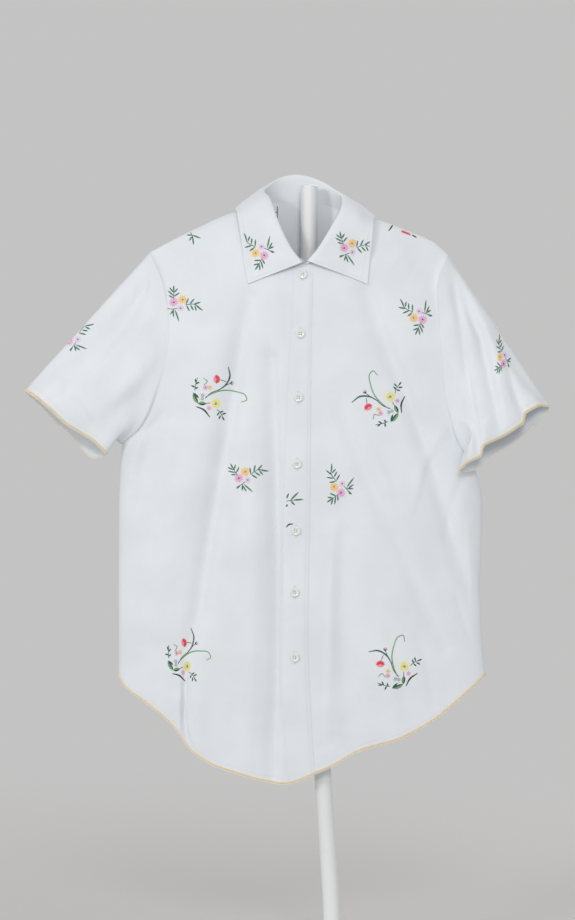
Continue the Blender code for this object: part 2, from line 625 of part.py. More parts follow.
def placket(finish):
    """The button placket: a strip made from the fronts' own points, moved out."""
    rows = ROWS[ROWS <= NECK_ROW]
    across = np.array([0, PLACKET_SHARE])
    centre, right = front_surface("right", across, rows)
    left = front_surface("left", across, rows)[1]
    grid = np.stack([left, centre, right])
    directions = normals(grid, np.array([0.0, -1.0, 0.0]))
    grid[:, -1, 2] = PLACKET_TOP
    grid[:, 0, 2] -= EDGING / 2
    wall("placket", grid + directions * (CLOTH + PLACKET_GAP), directions, CLOTH, finish)


def main():
    clear_scene()
    cloth = material("white cotton", (0.80, 0.82, 0.84), 0.85)
    edging = material("yellow looped edging", (0.80, 0.56, 0.25), 0.8)
    pearl = material("pearl button", (0.86, 0.85, 0.80), 0.25)
    paint = material("white stand paint", (0.82, 0.82, 0.80), 0.4)
    shirt(cloth, edging, pearl)
    stand(paint)


main()
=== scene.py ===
import math

import bmesh
import bpy
import numpy as np
from mathutils.bvhtree import BVHTree
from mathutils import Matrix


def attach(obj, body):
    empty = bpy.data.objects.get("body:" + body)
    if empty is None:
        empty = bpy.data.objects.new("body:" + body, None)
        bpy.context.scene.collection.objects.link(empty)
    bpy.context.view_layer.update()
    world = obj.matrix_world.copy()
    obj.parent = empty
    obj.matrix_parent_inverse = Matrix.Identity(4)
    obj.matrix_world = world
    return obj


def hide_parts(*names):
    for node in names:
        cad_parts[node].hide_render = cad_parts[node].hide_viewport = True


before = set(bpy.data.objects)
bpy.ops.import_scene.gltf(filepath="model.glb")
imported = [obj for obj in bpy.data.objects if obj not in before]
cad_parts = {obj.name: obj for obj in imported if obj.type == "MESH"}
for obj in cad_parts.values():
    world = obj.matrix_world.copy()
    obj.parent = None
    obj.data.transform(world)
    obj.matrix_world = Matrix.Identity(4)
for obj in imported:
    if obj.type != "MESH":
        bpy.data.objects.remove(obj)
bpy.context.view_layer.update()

# Back
# One panel of white plain-weave cotton shirting, ironed once and worn since. It runs from the
# hem to the neckline, is sewn to the fronts at the sides and shoulders, and hangs from the
# cross bar in a few long soft folds.
MM = 0.001
CLOTH = 0.9                 # thickness of the shirt's cloth where it shows, in millimetres
WEAVE_PITCH = 0.0011        # metres from thread to thread


def linear(red, green, blue):
    """A colour as seen on a screen, from 0 to 255, as Blender's linear one."""
    share = np.array([red, green, blue]) / 255
    made = np.where(share < 0.04045, share / 12.92, ((share + 0.055) / 1.055) ** 2.4)
    return (*made.tolist(), 1.0)


def plain_material(name, roughness, specular):
    """A material with its shader and output only: (material, its nodes, its links, its shader)."""
    made = bpy.data.materials.new(name)
    made.use_nodes = True
    shader = made.node_tree.nodes["Principled BSDF"]
    shader.inputs["Roughness"].default_value = roughness
    shader.inputs["Specular IOR Level"].default_value = specular
    return made, made.node_tree.nodes, made.node_tree.links, shader


def stepped_mix(nodes, links, factor, low, high, shader):
    """Sends a factor, as a colour between two, into the shader's colour. Returns the ramp between them."""
    ramp = nodes.new("ShaderNodeValToRGB")
    ramp.color_ramp.elements[0].color = low
    ramp.color_ramp.elements[1].color = high
    links.new(factor, ramp.inputs["Fac"])
    links.new(ramp.outputs["Color"], shader.inputs["Base Color"])
    return ramp


def noise(nodes, links, place, scale, detail=2.0, distortion=0.0):
    """The factor of a noise texture, read at a place."""
    made = nodes.new("ShaderNodeTexNoise")
    made.inputs["Scale"].default_value = scale
    made.inputs["Detail"].default_value = detail
    made.inputs["Distortion"].default_value = distortion
    links.new(place, made.inputs["Vector"])
    return made.outputs["Fac"]


def bumped(nodes, links, height, shader, strength, distance):
    """Sends a height through a bump, of a distance in metres, into the shader's normal."""
    bump = nodes.new("ShaderNodeBump")
    bump.inputs["Strength"].default_value = strength
    bump.inputs["Distance"].default_value = distance
    links.new(height, bump.inputs["Height"])
    links.new(bump.outputs["Normal"], shader.inputs["Normal"])


def cotton_cloth():
    """Matt plain weave with a little nap and a few thicker threads, on the cut piece's own grain."""
    made, nodes, links, shader = plain_material("white cotton shirting", roughness=0.85, specular=0.2)
    shader.inputs["Sheen Weight"].default_value = 0.12
    shader.inputs["Sheen Roughness"].default_value = 0.5
    place = nodes.new("ShaderNodeUVMap")
    place.uv_map = "grain"
    threads = []
    for direction in ("X", "Y"):
        wave = nodes.new("ShaderNodeTexWave")
        wave.bands_direction = direction
        wave.inputs["Scale"].default_value = 1 / (WEAVE_PITCH * math.pi)
        wave.inputs["Distortion"].default_value = 0.35
        wave.inputs["Detail"].default_value = 1.0
        links.new(place.outputs["UV"], wave.inputs["Vector"])
        threads.append(wave.outputs["Fac"])
    weave = nodes.new("ShaderNodeMath")
    weave.operation = "MULTIPLY"
    links.new(threads[0], weave.inputs[0])
    links.new(threads[1], weave.inputs[1])
    stretch = nodes.new("ShaderNodeMapping")
    stretch.inputs["Scale"].default_value = (900, 60, 1)
    links.new(place.outputs["UV"], stretch.inputs["Vector"])
    slubs = noise(nodes, links, stretch.outputs["Vector"], scale=1.0, detail=3.0)
    relief = nodes.new("ShaderNodeMath")
    relief.operation = "MULTIPLY_ADD"
    relief.inputs[1].default_value = 0.6
    links.new(slubs, relief.inputs[0])
    links.new(weave.outputs["Value"], relief.inputs[2])
    bumped(nodes, links, relief.outputs["Value"], shader, strength=0.18, distance=0.0002)
    patches = noise(nodes, links, place.outputs["UV"], scale=14.0, detail=4.0)
    ramp = stepped_mix(nodes, links, patches, linear(226, 231, 235), linear(232, 236, 240), shader)
    ramp.color_ramp.elements[0].position = 0.35
    ramp.color_ramp.elements[1].position = 0.65
    return made


COTTON = cotton_cloth()

# Depths are from the plane of the side and shoulder seams, in millimetres. Rows run from 0 at the
# hem to 1 at the shoulder, past the underarm and the neckline's start.
BACK_DEPTH, HEM_BACK_DEPTH, BACK_NECK_DEPTH = 33.0, 29.0, 29.0
ARMHOLE_DEPTH, ARMHOLE_EASE = 27.0, 0.12
ARM_ROW, NECK_ROW = 0.58, 0.80
EDGE_RISE = 1.4             # how far the cloth's edge stays above the solids' lowest line, for the loops
FOLD_BLEND = 0.8            # how far across its middle a fold changes from its left to its right width
BACK_COLUMNS, BACK_ROWS = 170, 210
LOWER_ROWS, UPPER_ROWS = 0.78, 0.22     # shares of a panel's rows below and above the neckline's start
CREASE_WAVES = 22
NECK_REACH = 5 / 16         # the neckline's share of the half turn from side seam to side seam

# Outlines as (x, z). Side seams run up from the hem, armholes up from the underarm.
SIDE_LEFT = [(-277, 364), (-277, 440), (-277, 519), (-276, 600), (-272, 666)]
SIDE_RIGHT = [(199, 364), (194, 420), (192, 480), (194, 540), (194, 600), (184, 640)]
ARMHOLE_LEFT = [(-272, 666), (-247, 690), (-228, 728), (-215, 780), (-213, 832), (-220, 873), (-237, 913)]
ARMHOLE_RIGHT = [(184, 640), (166, 662), (152, 700), (143, 767), (138, 830), (138, 878), (151, 909)]
SHOULDER_LEFT = [(-95, 974), (-125, 966), (-185, 940), (-237, 913)]
SHOULDER_RIGHT = [(18, 964), (53, 957), (101, 940), (135, 924), (151, 909)]
HEM_BACK = [(-277, 364), (-240, 336), (-200, 302), (-122, 262), (-40, 246), (40, 268), (90, 290),
            (130, 312), (164, 337), (199, 364)]
NECK_BACK = [(-95, 974), (-85, 978), (-62, 981), (-38, 981), (-12, 978), (8, 971), (18, 964)]
# Folds as (route from above, width on its left, width on its right, height). Troughs are below 0.
FOLDS_BACK = [
    ([(-150, 900), (-160, 760), (-186, 600), (-214, 420)], 22, 7, -7),
    ([(80, 900), (92, 760), (112, 600), (140, 430)], 7, 22, -7),
    ([(-80, 900), (-88, 700), (-96, 480), (-100, 270)], 24, 18, 6),
    ([(10, 900), (16, 700), (26, 480), (36, 290)], 14, 22, 6),
    ([(-36, 860), (-38, 640), (-36, 420), (-32, 270)], 16, 7, -5),
    ([(-41, 972), (-41, 940), (-40, 900), (-38, 850)], 3, 8, -4),
    ([(-200, 850), (-218, 760), (-236, 680)], 9, 5, 2.0),
    ([(112, 860), (136, 770), (158, 690)], 5, 9, 2.2),
    ([(-236, 640), (-196, 560), (-176, 470)], 8, 4, -2.0),
    ([(160, 620), (130, 540), (112, 450)], 4, 8, 1.8),
    ([(-120, 560), (-60, 548), (0, 562)], 6, 4, -1.0),
    ([(-60, 330), (-10, 322), (60, 338)], 4, 6, 1.0),
]


def graph(places, rows):
    """A smooth curve that is at rows[i] where its argument is places[i]."""
    places, rows = np.array(places, float), np.array(rows, float)
    slope = np.gradient(rows, places, axis=0)

    def value(t):
        t = np.clip(np.asarray(t, float), places[0], places[-1])
        i = np.clip(np.searchsorted(places, t, side="right") - 1, 0, len(places) - 2)
        span = (places[i + 1] - places[i])[..., None]
        f = (t - places[i])[..., None] / span
        return ((2 * f**3 - 3 * f**2 + 1) * rows[i] + (f**3 - 2 * f**2 + f) * span * slope[i]
                + (3 * f**2 - 2 * f**3) * rows[i + 1] + (f**3 - f**2) * span * slope[i + 1])

    return value


def through(rows):
    """A smooth curve through the rows, as a function of the way along it, from 0 to 1."""
    rows = np.array(rows, float)
    run = np.r_[0, np.cumsum(np.linalg.norm(np.diff(rows, axis=0), axis=1))]
    return graph(run / run[-1], rows)


def unit(vectors):
    """The vectors at length 1."""
    return vectors / np.maximum(np.linalg.norm(vectors, axis=-1, keepdims=True), 1e-9)


def edge_of_side(rows, side, armhole):
    """The outer edge of a panel: its side seam up to the underarm, then its armhole."""
    below = through(side)(rows / ARM_ROW)
    above = through(armhole)((rows - ARM_ROW) / (1 - ARM_ROW))
    return np.where((rows < ARM_ROW)[:, None], below, above)


def shoulder_fade(rows):
    """1 up to the neckline's start, then down to 0 at the shoulder seam, like a quarter circle."""
    return np.sqrt(1 - np.clip((rows - NECK_ROW) / (1 - NECK_ROW), 0, 1) ** 2)


def armhole_depth(rows):
    """How far the armhole's edge stands from the seams' plane: 0 at the underarm and the tip."""
    opening = np.clip((NECK_ROW - rows) / (NECK_ROW - ARM_ROW), 0, 1)
    return ARMHOLE_DEPTH * np.sqrt(1 - opening**2) * shoulder_fade(rows)


def eased(across, rows, depths):
    """Depths along a panel's edge as they work inside it: the same at the edge, smoothed farther in."""
    even = np.linspace(0, 1, 401)
    kernel = np.exp(-np.linspace(-2, 2, 61) ** 2)
    padded_depths = np.pad(np.interp(even, rows, depths), 30, mode="edge")
    smooth = np.interp(rows, even, np.convolve(padded_depths, kernel / kernel.sum(), mode="valid"))
    share = (np.abs(across) ** 24)[:, None]
    return share * depths + (1 - share) * smooth * shoulder_fade(rows)


def side_rounding(across, rows):
    """0 at a panel's outer edge, 1 at its middle: round towards the side seam, flatter at the armhole."""
    up_armhole = np.clip((rows - ARM_ROW) / (1 - ARM_ROW) / ARMHOLE_EASE, 0, 1)
    return (1 - across[:, None] ** 2) ** (0.5 + 0.6 * up_armhole[None, :])


def patch(inner, outer, bottom, top, ends, across, rows):
    """Points between four edges: grid[column, row] as (x, z). ends holds the bottom and the top corners."""
    a, r = across[:, None, None], rows[None, :, None]
    (low_inner, low_outer), (high_inner, high_outer) = np.array(ends, float)
    between_sides = (1 - a) * inner[None] + a * outer[None]
    between_ends = (1 - r) * bottom[:, None] + r * top[:, None]
    corners = ((1 - r) * ((1 - a) * low_inner + a * low_outer)
               + r * ((1 - a) * high_inner + a * high_outer))
    return between_sides + between_ends - corners


def fold_relief(flat, folds):
    """Height of the folds at each (x, z): a ridge or trough along each route from above, fading at its ends.
    Its widths are those at its left and right, so that a fold can be crisp on one side."""
    total = np.zeros(flat.shape[:-1])
    steps = np.linspace(0, 1, 61)
    for route, left_width, right_width, height in folds:
        line = through(route)(steps)
        ahead = unit(np.gradient(line, axis=0))
        near = np.full(total.shape, 1e9)
        along, side = np.zeros(total.shape), np.zeros(total.shape)
        for step, point, way in zip(steps, line, ahead):
            dx, dz = flat[..., 0] - point[0], flat[..., 1] - point[1]
            gap = np.hypot(dx, dz)
            closer = gap < near
            near = np.where(closer, gap, near)
            along = np.where(closer, step, along)
            side = np.where(closer, way[0] * dz - way[1] * dx, side)
        near = np.where((along > 0) & (along < 1), np.abs(side), near)
        fade = np.sin(math.pi * np.clip(0.10 + 0.82 * along, 0, 1)) ** 0.6
        width = left_width + (right_width - left_width) / (1 + np.exp(-np.clip(side / FOLD_BLEND, -30, 30)))
        total += height * fade * np.exp(-(near / width) ** 2)
    return total


def quiet_edges(across, rows):
    """1 inside a panel, 0 at its side seam, armhole and shoulder, so that seams stay true."""
    upward = 1 - np.clip((rows[None, :] - 0.86) / 0.14, 0, 1) ** 2
    return (1 - across[:, None] ** 8) * upward


def crumple(first, second, size, seed):
    """Small soft creases of worn cotton, about 1 high: smooth random bumps of a size, in millimetres."""
    dice = np.random.default_rng(seed)
    total = np.zeros(np.broadcast(first, second).shape)
    for _ in range(CREASE_WAVES):
        turn, phase = dice.uniform(0, math.pi), dice.uniform(0, math.tau)
        wave = size * dice.uniform(0.7, 2.4)
        total += np.sin((first * math.cos(turn) + second * math.sin(turn) * 0.55) / wave * math.tau + phase)
    return total / math.sqrt(CREASE_WAVES)


def normals(points, outward, ring=False):
    """Unit normals of a grid of points, turned so that most of them agree with outward."""
    if ring:
        first = (np.roll(points, -1, axis=0) - np.roll(points, 1, axis=0)) / 2
    else:
        first = np.gradient(points, axis=0)
    made = unit(np.cross(first, np.gradient(points, axis=1)))
    return made if (made * outward).sum() > 0 else -made


def mesh_object(name, points, faces, finishes, kinds=None):
    """A mesh of points in millimetres that rides on the shirt, with a finish or several."""
    data = bpy.data.meshes.new(name)
    data.from_pydata((np.asarray(points) * MM).tolist(), [], [list(map(int, face)) for face in faces])
    for finish in finishes:
        data.materials.append(finish)
    if kinds is not None:
        data.polygons.foreach_set("material_index", np.asarray(kinds, np.int32))
    data.shade_smooth()
    data.update()
    obj = bpy.data.objects.new(name, data)
    bpy.context.scene.collection.objects.link(obj)
    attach(obj, "root")
    return obj


def shell(name, node, points, directions, grain, thickness=CLOTH, ring=False):
    """A closed thin shell round a grid of points, which stands for a node. grain holds each point's place
    on the cut cloth, in millimetres."""
    columns, rows = points.shape[:2]
    half = directions * thickness / 2
    both = np.concatenate([(points + half).reshape(-1, 3), (points - half).reshape(-1, 3)])
    index = np.arange(columns * rows).reshape(columns, rows)
    inner = index + columns * rows
    after = np.roll(index, -1, axis=0) if ring else index[1:]
    after_inner = after + columns * rows
    here, here_inner = (index, inner) if ring else (index[:-1], inner[:-1])

    def quads(a, b, c, d):
        return np.stack([a, b, c, d], axis=-1).reshape(-1, 4)

    faces = [quads(here[:, :-1], after[:, :-1], after[:, 1:], here[:, 1:]),
             quads(here_inner[:, 1:], after_inner[:, 1:], after_inner[:, :-1], here_inner[:, :-1]),
             quads(here_inner[:, 0], after_inner[:, 0], after[:, 0], here[:, 0]),
             quads(here[:, -1], after[:, -1], after_inner[:, -1], here_inner[:, -1])]
    if not ring:
        faces += [quads(index[0, :-1], index[0, 1:], inner[0, 1:], inner[0, :-1]),
                  quads(inner[-1, :-1], inner[-1, 1:], index[-1, 1:], index[-1, :-1])]
    faces = np.concatenate(faces)
    sample = both[faces[:, :3]]
    volume = (np.cross(sample[:, 1] - sample[:, 0], sample[:, 2] - sample[:, 0]) * sample[:, 0]).sum()
    if volume < 0:
        faces = faces[:, ::-1]
    obj = mesh_object(name, both, faces, [COTTON])
    places = np.concatenate([grain.reshape(-1, 2), grain.reshape(-1, 2)]) * MM
    layer = obj.data.uv_layers.new(name="grain")
    corner = np.empty(len(obj.data.loops), np.int32)
    obj.data.loops.foreach_get("vertex_index", corner)
    layer.data.foreach_set("uv", places[corner].astype(np.float32).ravel())
    obj.data.set_sharp_from_angle(angle=math.radians(60))
    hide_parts(node)
    return obj


SURFACES = {}               # each cloth piece's points and directions, for what is sewn on it


def rows_of(count):
    """Heights of a panel's rows, from 0 to 1, closer together at the shoulder."""
    below = np.linspace(0, NECK_ROW, int(count * LOWER_ROWS), endpoint=False)
    above = np.sin(np.linspace(0, math.pi / 2, int(count * UPPER_ROWS)))
    return np.r_[below, NECK_ROW + (1 - NECK_ROW) * above]


def back_surface(turns, rows):
    """Points of the back, grid[column, row], for columns at turns from -1 to 1."""
    across = np.sin(turns * math.pi / 2)
    neck = np.clip((turns / NECK_REACH + 1) / 2, 0, 1)
    way = np.clip((np.abs(turns) - NECK_REACH) / (1 - NECK_REACH), 0, 1)
    shoulder = np.where((turns < 0)[:, None], through(SHOULDER_LEFT)(way), through(SHOULDER_RIGHT)(way))
    top = np.where((np.abs(turns) > NECK_REACH)[:, None], shoulder, through(NECK_BACK)(neck))
    left, right = edge_of_side(rows, SIDE_LEFT, ARMHOLE_LEFT), edge_of_side(rows, SIDE_RIGHT, ARMHOLE_RIGHT)
    ends = (HEM_BACK[0], HEM_BACK[-1]), (SHOULDER_LEFT[-1], SHOULDER_RIGHT[-1])
    flat = patch(left, right, through(HEM_BACK)((across + 1) / 2), top, ends, (across + 1) / 2, rows)
    flat[..., 1] += EDGE_RISE * (1 - rows) ** 6
    middle = HEM_BACK_DEPTH + (BACK_DEPTH - HEM_BACK_DEPTH) * np.clip(rows / NECK_ROW, 0, 1)
    arm, fade = eased(across, rows, armhole_depth(rows)), shoulder_fade(rows)
    depth = arm + (middle * fade - arm) * side_rounding(across, rows)
    swell = BACK_NECK_DEPTH * np.sqrt(np.clip(1 - (turns / NECK_REACH) ** 2, 0, 1))
    depth = np.hypot(depth, swell[:, None] * np.sqrt(1 - fade**2))
    relief = fold_relief(flat, FOLDS_BACK)
    relief += 0.45 * crumple(flat[..., 0], flat[..., 1], size=38, seed=3)
    depth = np.maximum(depth + relief * quiet_edges(np.abs(across), rows), 0.1)
    return np.stack([flat[..., 0], depth, flat[..., 1]], axis=-1)


back_turns = np.linspace(-1, 1, BACK_COLUMNS + 1)
back_rows = rows_of(BACK_ROWS)
back = back_surface(back_turns, back_rows)
back_out = normals(back, np.array([0.0, 1.0, 0.0]))
back_piece = shell("back_cloth", "back", back, back_out, back[..., [0, 2]])
SURFACES["back"] = back, back_out

# Fronts
# Two panels from the centre to the side seams, with the long folds that fall from the
# collar and the shoulders. Their short pinched folds stand over the ends of the cross bar.
FRONT_DEPTH, HEM_FRONT_DEPTH = 41.0, 31.0
CENTRE_FRONT = [(-40, 230), (-45, 300), (-49, 410), (-47, 553), (-44, 724), (-38, 894)]
HEM_LEFT = [(-40, 230), (-57, 225), (-86, 228), (-122, 238), (-160, 252), (-186, 272), (-204, 298),
            (-240, 328), (-270, 352), (-277, 364)]
HEM_RIGHT = [(-40, 230), (-20, 239), (0, 248), (30, 265), (90, 284), (130, 306), (164, 333), (199, 364)]
NECK_LEFT = [(-38, 894), (-58, 911), (-77, 941), (-88, 961), (-95, 974)]
NECK_RIGHT = [(-38, 894), (-18, 909), (0, 932), (13, 952), (18, 964)]
PLACKET_SHARE = 0.068       # how much of a half front's width the placket covers
# The long folds, and the creases beside them, in the same columns as the back's.
FOLDS_FRONT = [
    ([(-107, 852), (-120, 774), (-129, 708), (-146, 611), (-162, 514), (-172, 448), (-186, 390), (-195, 351)],
     13, 10, -8.5),
    ([(-112, 852), (-124, 774), (-134, 708), (-151, 611), (-168, 514), (-182, 420)], 28, 16, -2.4),
    ([(-150, 800), (-164, 708), (-190, 611), (-212, 514), (-224, 430)], 18, 24, 4.5),
    ([(-77, 774), (-72, 663), (-70, 546), (-68, 448), (-71, 351), (-76, 236)], 13, 6, -9.5),
    ([(-98, 660), (-100, 560), (-102, 448), (-106, 351), (-110, 260)], 14, 12, 3.4),
    ([(46, 861), (62, 812), (85, 754), (105, 702), (124, 650), (147, 572), (166, 507), (192, 455)],
     13, 9, -7.5),
    ([(66, 861), (88, 812), (114, 754), (136, 702), (156, 650), (176, 572), (190, 507)], 14, 22, 2.6),
    ([(10, 715), (36, 644), (88, 533), (114, 468), (147, 403)], 12, 9, -3.8),
    ([(12, 540), (14, 440), (17, 351), (24, 276)], 13, 17, -4.6),
    ([(4, 560), (-2, 470), (-4, 380), (-8, 280)], 5, 8, 1.6),
]
CREASES_FRONT = [
    ([(-226, 906), (-214, 880), (-204, 850)], 4, 4, 1.1),
    ([(-214, 914), (-198, 892), (-184, 866)], 4, 4, -1.0),
    ([(-198, 922), (-180, 902), (-164, 880)], 5, 4, 0.9),
    ([(136, 908), (124, 884), (114, 858)], 5, 5, 0.5),
    ([(120, 916), (106, 894), (94, 872)], 5, 5, -0.4),
    ([(100, 924), (84, 906), (70, 888)], 5, 6, 0.4),
    ([(-196, 372), (-198, 330), (-198, 286)], 14, 5, 4.0),
    ([(-188, 378), (-190, 340), (-190, 300), (-182, 272)], 5, 3, -5.0),
    ([(-170, 366), (-172, 326), (-172, 276)], 6, 14, 2.5),
    ([(-56, 250), (-28, 262), (2, 268)], 4, 3, 1.4),
    ([(-50, 262), (-26, 274), (-2, 278)], 3, 4, -1.2),
    ([(-46, 290), (-10, 296), (30, 290)], 5, 4, 0.9),
    ([(-268, 690), (-244, 716), (-226, 744)], 4, 4, 1.6),
    ([(-264, 668), (-238, 684), (-218, 706)], 4, 4, -1.5),
    ([(-240, 702), (-250, 663), (-263, 616), (-268, 566)], 9, 5, 3.4),
    ([(-226, 700), (-238, 655), (-250, 606), (-256, 560)], 6, 8, -2.4),
    ([(-206, 690), (-214, 640), (-224, 590)], 6, 9, 1.8),
    ([(150, 690), (120, 640), (104, 580)], 9, 5, 1.6),
    ([(172, 628), (156, 590), (146, 540)], 5, 8, -1.6),
    ([(176, 560), (180, 500), (184, 440)], 5, 7, 2.4),
    ([(160, 470), (172, 430), (184, 400)], 6, 5, -2.2),
    ([(20, 700), (60, 640), (80, 560)], 12, 6, 1.2),
    ([(-110, 690), (-104, 600), (-112, 500)], 10, 7, 1.2),
    ([(60, 440), (74, 380), (84, 320)], 12, 7, 1.6),
    ([(110, 420), (124, 370), (130, 330)], 6, 9, -1.4),
    ([(-236, 520), (-244, 450), (-246, 390)], 9, 6, 1.4),
]
FRONT_COLUMNS, FRONT_ROWS = 140, 220
UNDERARM_SPREAD, UNDERARM_ROUNDS = 0.07, 40


def underarm_eased(grid, across, rows):
    """The panel with the bend of its rows at the underarm spread over a few centimetres, inside its edges."""
    share = np.exp(-((rows - ARM_ROW) / UNDERARM_SPREAD) ** 2)[None, :] * (1 - np.abs(across[:, None]) ** 12)
    for _ in range(UNDERARM_ROUNDS):
        grid[:, 1:-1] += 0.25 * share[:, 1:-1, None] * (grid[:, :-2] + grid[:, 2:] - 2 * grid[:, 1:-1])
    return grid


def front_surface(side, across, rows):
    """Points of a half front, grid[column, row], from the centre outwards."""
    left = side == "left"
    outer = edge_of_side(rows, SIDE_LEFT if left else SIDE_RIGHT, ARMHOLE_LEFT if left else ARMHOLE_RIGHT)
    neck, hem = (NECK_LEFT, HEM_LEFT) if left else (NECK_RIGHT, HEM_RIGHT)
    shoulder = SHOULDER_LEFT if left else SHOULDER_RIGHT
    below = through(CENTRE_FRONT)(rows / NECK_ROW)
    above = through(neck)((rows - NECK_ROW) / (1 - NECK_ROW))
    inner = np.where((rows < NECK_ROW)[:, None], below, above)
    ends = (hem[0], hem[-1]), (shoulder[0], shoulder[-1])
    flat = patch(inner, outer, through(hem)(across), through(shoulder)(across), ends, across, rows)
    flat[..., 1] += EDGE_RISE * (1 - rows) ** 6
    climb = np.clip(rows / NECK_ROW, 0, 1)
    middle = (HEM_FRONT_DEPTH + (FRONT_DEPTH - HEM_FRONT_DEPTH) * climb) * shoulder_fade(rows)
    arm = eased(across, rows, armhole_depth(rows))
    depth = arm + (middle - arm) * side_rounding(across, rows)
    eased_grid = underarm_eased(np.concatenate([flat, depth[..., None]], axis=-1), across, rows)
    flat, depth = eased_grid[..., :2], eased_grid[..., 2]
    depth += fold_relief(flat, FOLDS_FRONT) * quiet_edges(across, rows)
    away = np.clip((across - PLACKET_SHARE) / 0.10, 0, 1)[:, None]
    small = fold_relief(flat, CREASES_FRONT) + 0.4 * crumple(flat[..., 0], flat[..., 1], size=36, seed=7)
    depth += small * away * np.clip((1 - rows) / 0.06, 0, 1) * (1 - across[:, None] ** 8)
    return np.stack([flat[..., 0], -np.maximum(depth, 0.1), flat[..., 1]], axis=-1)


even = np.linspace(0, 1, FRONT_COLUMNS - 1)
closer_at_side = 0.55 * even + 0.45 * np.sin(even * math.pi / 2)
front_across = np.r_[0, PLACKET_SHARE / 2, PLACKET_SHARE + (1 - PLACKET_SHARE) * closer_at_side]
front_rows = rows_of(FRONT_ROWS)
for side in ("left", "right"):
    panel = front_surface(side, front_across, front_rows)
    panel_out = normals(panel, np.array([0.0, -1.0, 0.0]))
    shell(f"front_{side}_cloth", f"front_{side}", panel, panel_out, panel[..., [0, 2]])
    SURFACES[f"front_{side}"] = panel, panel_out

# Placket
# A folded strip of the same cotton that laps over the fronts' meeting edges, from the hem to
# the neck. It lies on them and is edge-stitched down both sides.
PLACKET_TOP, PLACKET_RISE = 884.0, 0.6
PLACKET_CLOTH = 1.1
PLACKET_GRAIN = 3.3         # how far its weave is shifted from the fronts'
# How high it lies above them: (place across, height).
PLACKET_LAP = [(-1, 1.35), (-0.92, 1.65), (0.6, 1.6), (0.9, 1.1), (1, 0.55)]
placket_rows = np.linspace(0, NECK_ROW, 160)
placket_across = np.linspace(0, PLACKET_SHARE, 9)
strip_right = front_surface("right", placket_across, placket_rows)
strip_left = front_surface("left", placket_across, placket_rows)
strip = np.concatenate([strip_left[::-1], strip_right[1:]])
strip[:, -1, 2] = PLACKET_TOP
strip[:, 0, 2] += PLACKET_RISE
strip_out = normals(strip, np.array([0.0, -1.0, 0.0]))
lap = np.interp(np.linspace(-1, 1, len(strip)), *zip(*PLACKET_LAP))
strip = strip + strip_out * lap[:, None, None]
strip_out = normals(strip, np.array([0.0, -1.0, 0.0]))
strip_grain = strip[..., [0, 2]] + PLACKET_GRAIN
placket_piece = shell("placket_cloth", "placket", strip, strip_out, strip_grain, PLACKET_CLOTH)
SURFACES["placket"] = strip, strip_out

# Collar
# A soft one-piece collar on a low stand, turned down all round. Its points lie flat on the
# fronts, and a line of stitches runs round its outer edge.
COLLAR_ROLL, FOLD_DROP, FOLD_HALF = 3.0, 3.0, 2.6
COLLAR_CLOTH = 1.2
COLLAR_MIDDLE = np.array([-38.0, 0.0, 900.0])
COLLAR_GRAIN = 130, 110     # millimetres of cloth from station to station and from seam to edge
CREASE_SCALE = 120          # the same, rounded, for its small creases
FALL_REST = 1.6             # how far the fall's middle stays above the fronts' outer faces
FALL_LIMITS = -3, 10        # how far it may move out from the fronts, and in towards them
FAR = 200.0                 # a distance well in front of the shirt and behind it, for rays

# Rows of (station, point on the fold, point on the outer edge). The stations are 0 at the left end,
# 1 and 2 at the shoulders and 3 at the right end.
COLLAR = [
    (0.00, (-39, -49, 897), (-109, -48, 870)), (0.30, (-54, -47, 917), (-114, -46, 900)),
    (0.60, (-69, -40, 948), (-118, -38, 931)), (0.85, (-81, -22, 982), (-123, -21, 962)),
    (1.00, (-88, -3, 992), (-125, 2, 971)), (1.20, (-78, 16, 1005), (-116, 24, 966)),
    (1.35, (-63, 28, 1014), (-90, 37, 963)), (1.50, (-43, 32, 1017), (-40, 42, 961)),
    (1.65, (-18, 28, 1010), (8, 37, 959)), (1.80, (1, 15, 997), (36, 24, 957)),
    (2.00, (13, -3, 984), (54, 2, 962)), (2.15, (11, -22, 968), (53, -20, 952)),
    (2.40, (-3, -40, 941), (50, -38, 920)), (2.70, (-18, -47, 916), (47, -46, 894)),
    (3.00, (-32, -49, 899), (45, -48, 870)),
]


def neck_seam(station):
    """The neckline's points at the stations."""
    left, behind = through(NECK_LEFT)(station), through(NECK_BACK)(station - 1)
    right = through(NECK_RIGHT)(3 - station)
    front_y = -FRONT_DEPTH * np.sqrt(np.clip(1 - np.minimum(station, 3 - station) ** 2, 0, 1))
    back_y = BACK_NECK_DEPTH * np.sqrt(np.clip(1 - (2 * station - 3) ** 2, 0, 1))
    flat = np.where((station <= 1)[:, None], left, np.where((station < 2)[:, None], behind, right))
    depth = np.where((station > 1) & (station < 2), back_y, front_y)
    return np.stack([flat[:, 0], depth, flat[:, 1]], axis=-1)


def collar_surface(stations, across):
    """Points of the collar: up its stand, over the fold and down its fall."""
    places = [row[0] for row in COLLAR]
    fold = graph(places, [row[1] for row in COLLAR])(stations)
    edge = graph(places, [row[2] for row in COLLAR])(stations)
    seam = neck_seam(stations)
    out = unit(np.cross(edge - fold, unit(np.gradient(fold, axis=0))))
    out *= np.where(((fold - np.array([-38.0, 0.0, 940.0])) * out).sum(axis=-1) < 0, -1, 1)[:, None]
    up = unit(fold - (seam + edge) / 2)
    stand_top, fall_top = (fold - FOLD_DROP * up + side * FOLD_HALF * out for side in (-1, 1))
    rows = np.stack([seam, (seam + stand_top) / 2, stand_top, fold, fall_top,
                     (fold + edge) / 2 + COLLAR_ROLL * out, edge], axis=1)
    return np.stack([graph([0, 0.14, 0.30, 0.40, 0.50, 0.75, 1], line)(across) for line in rows])


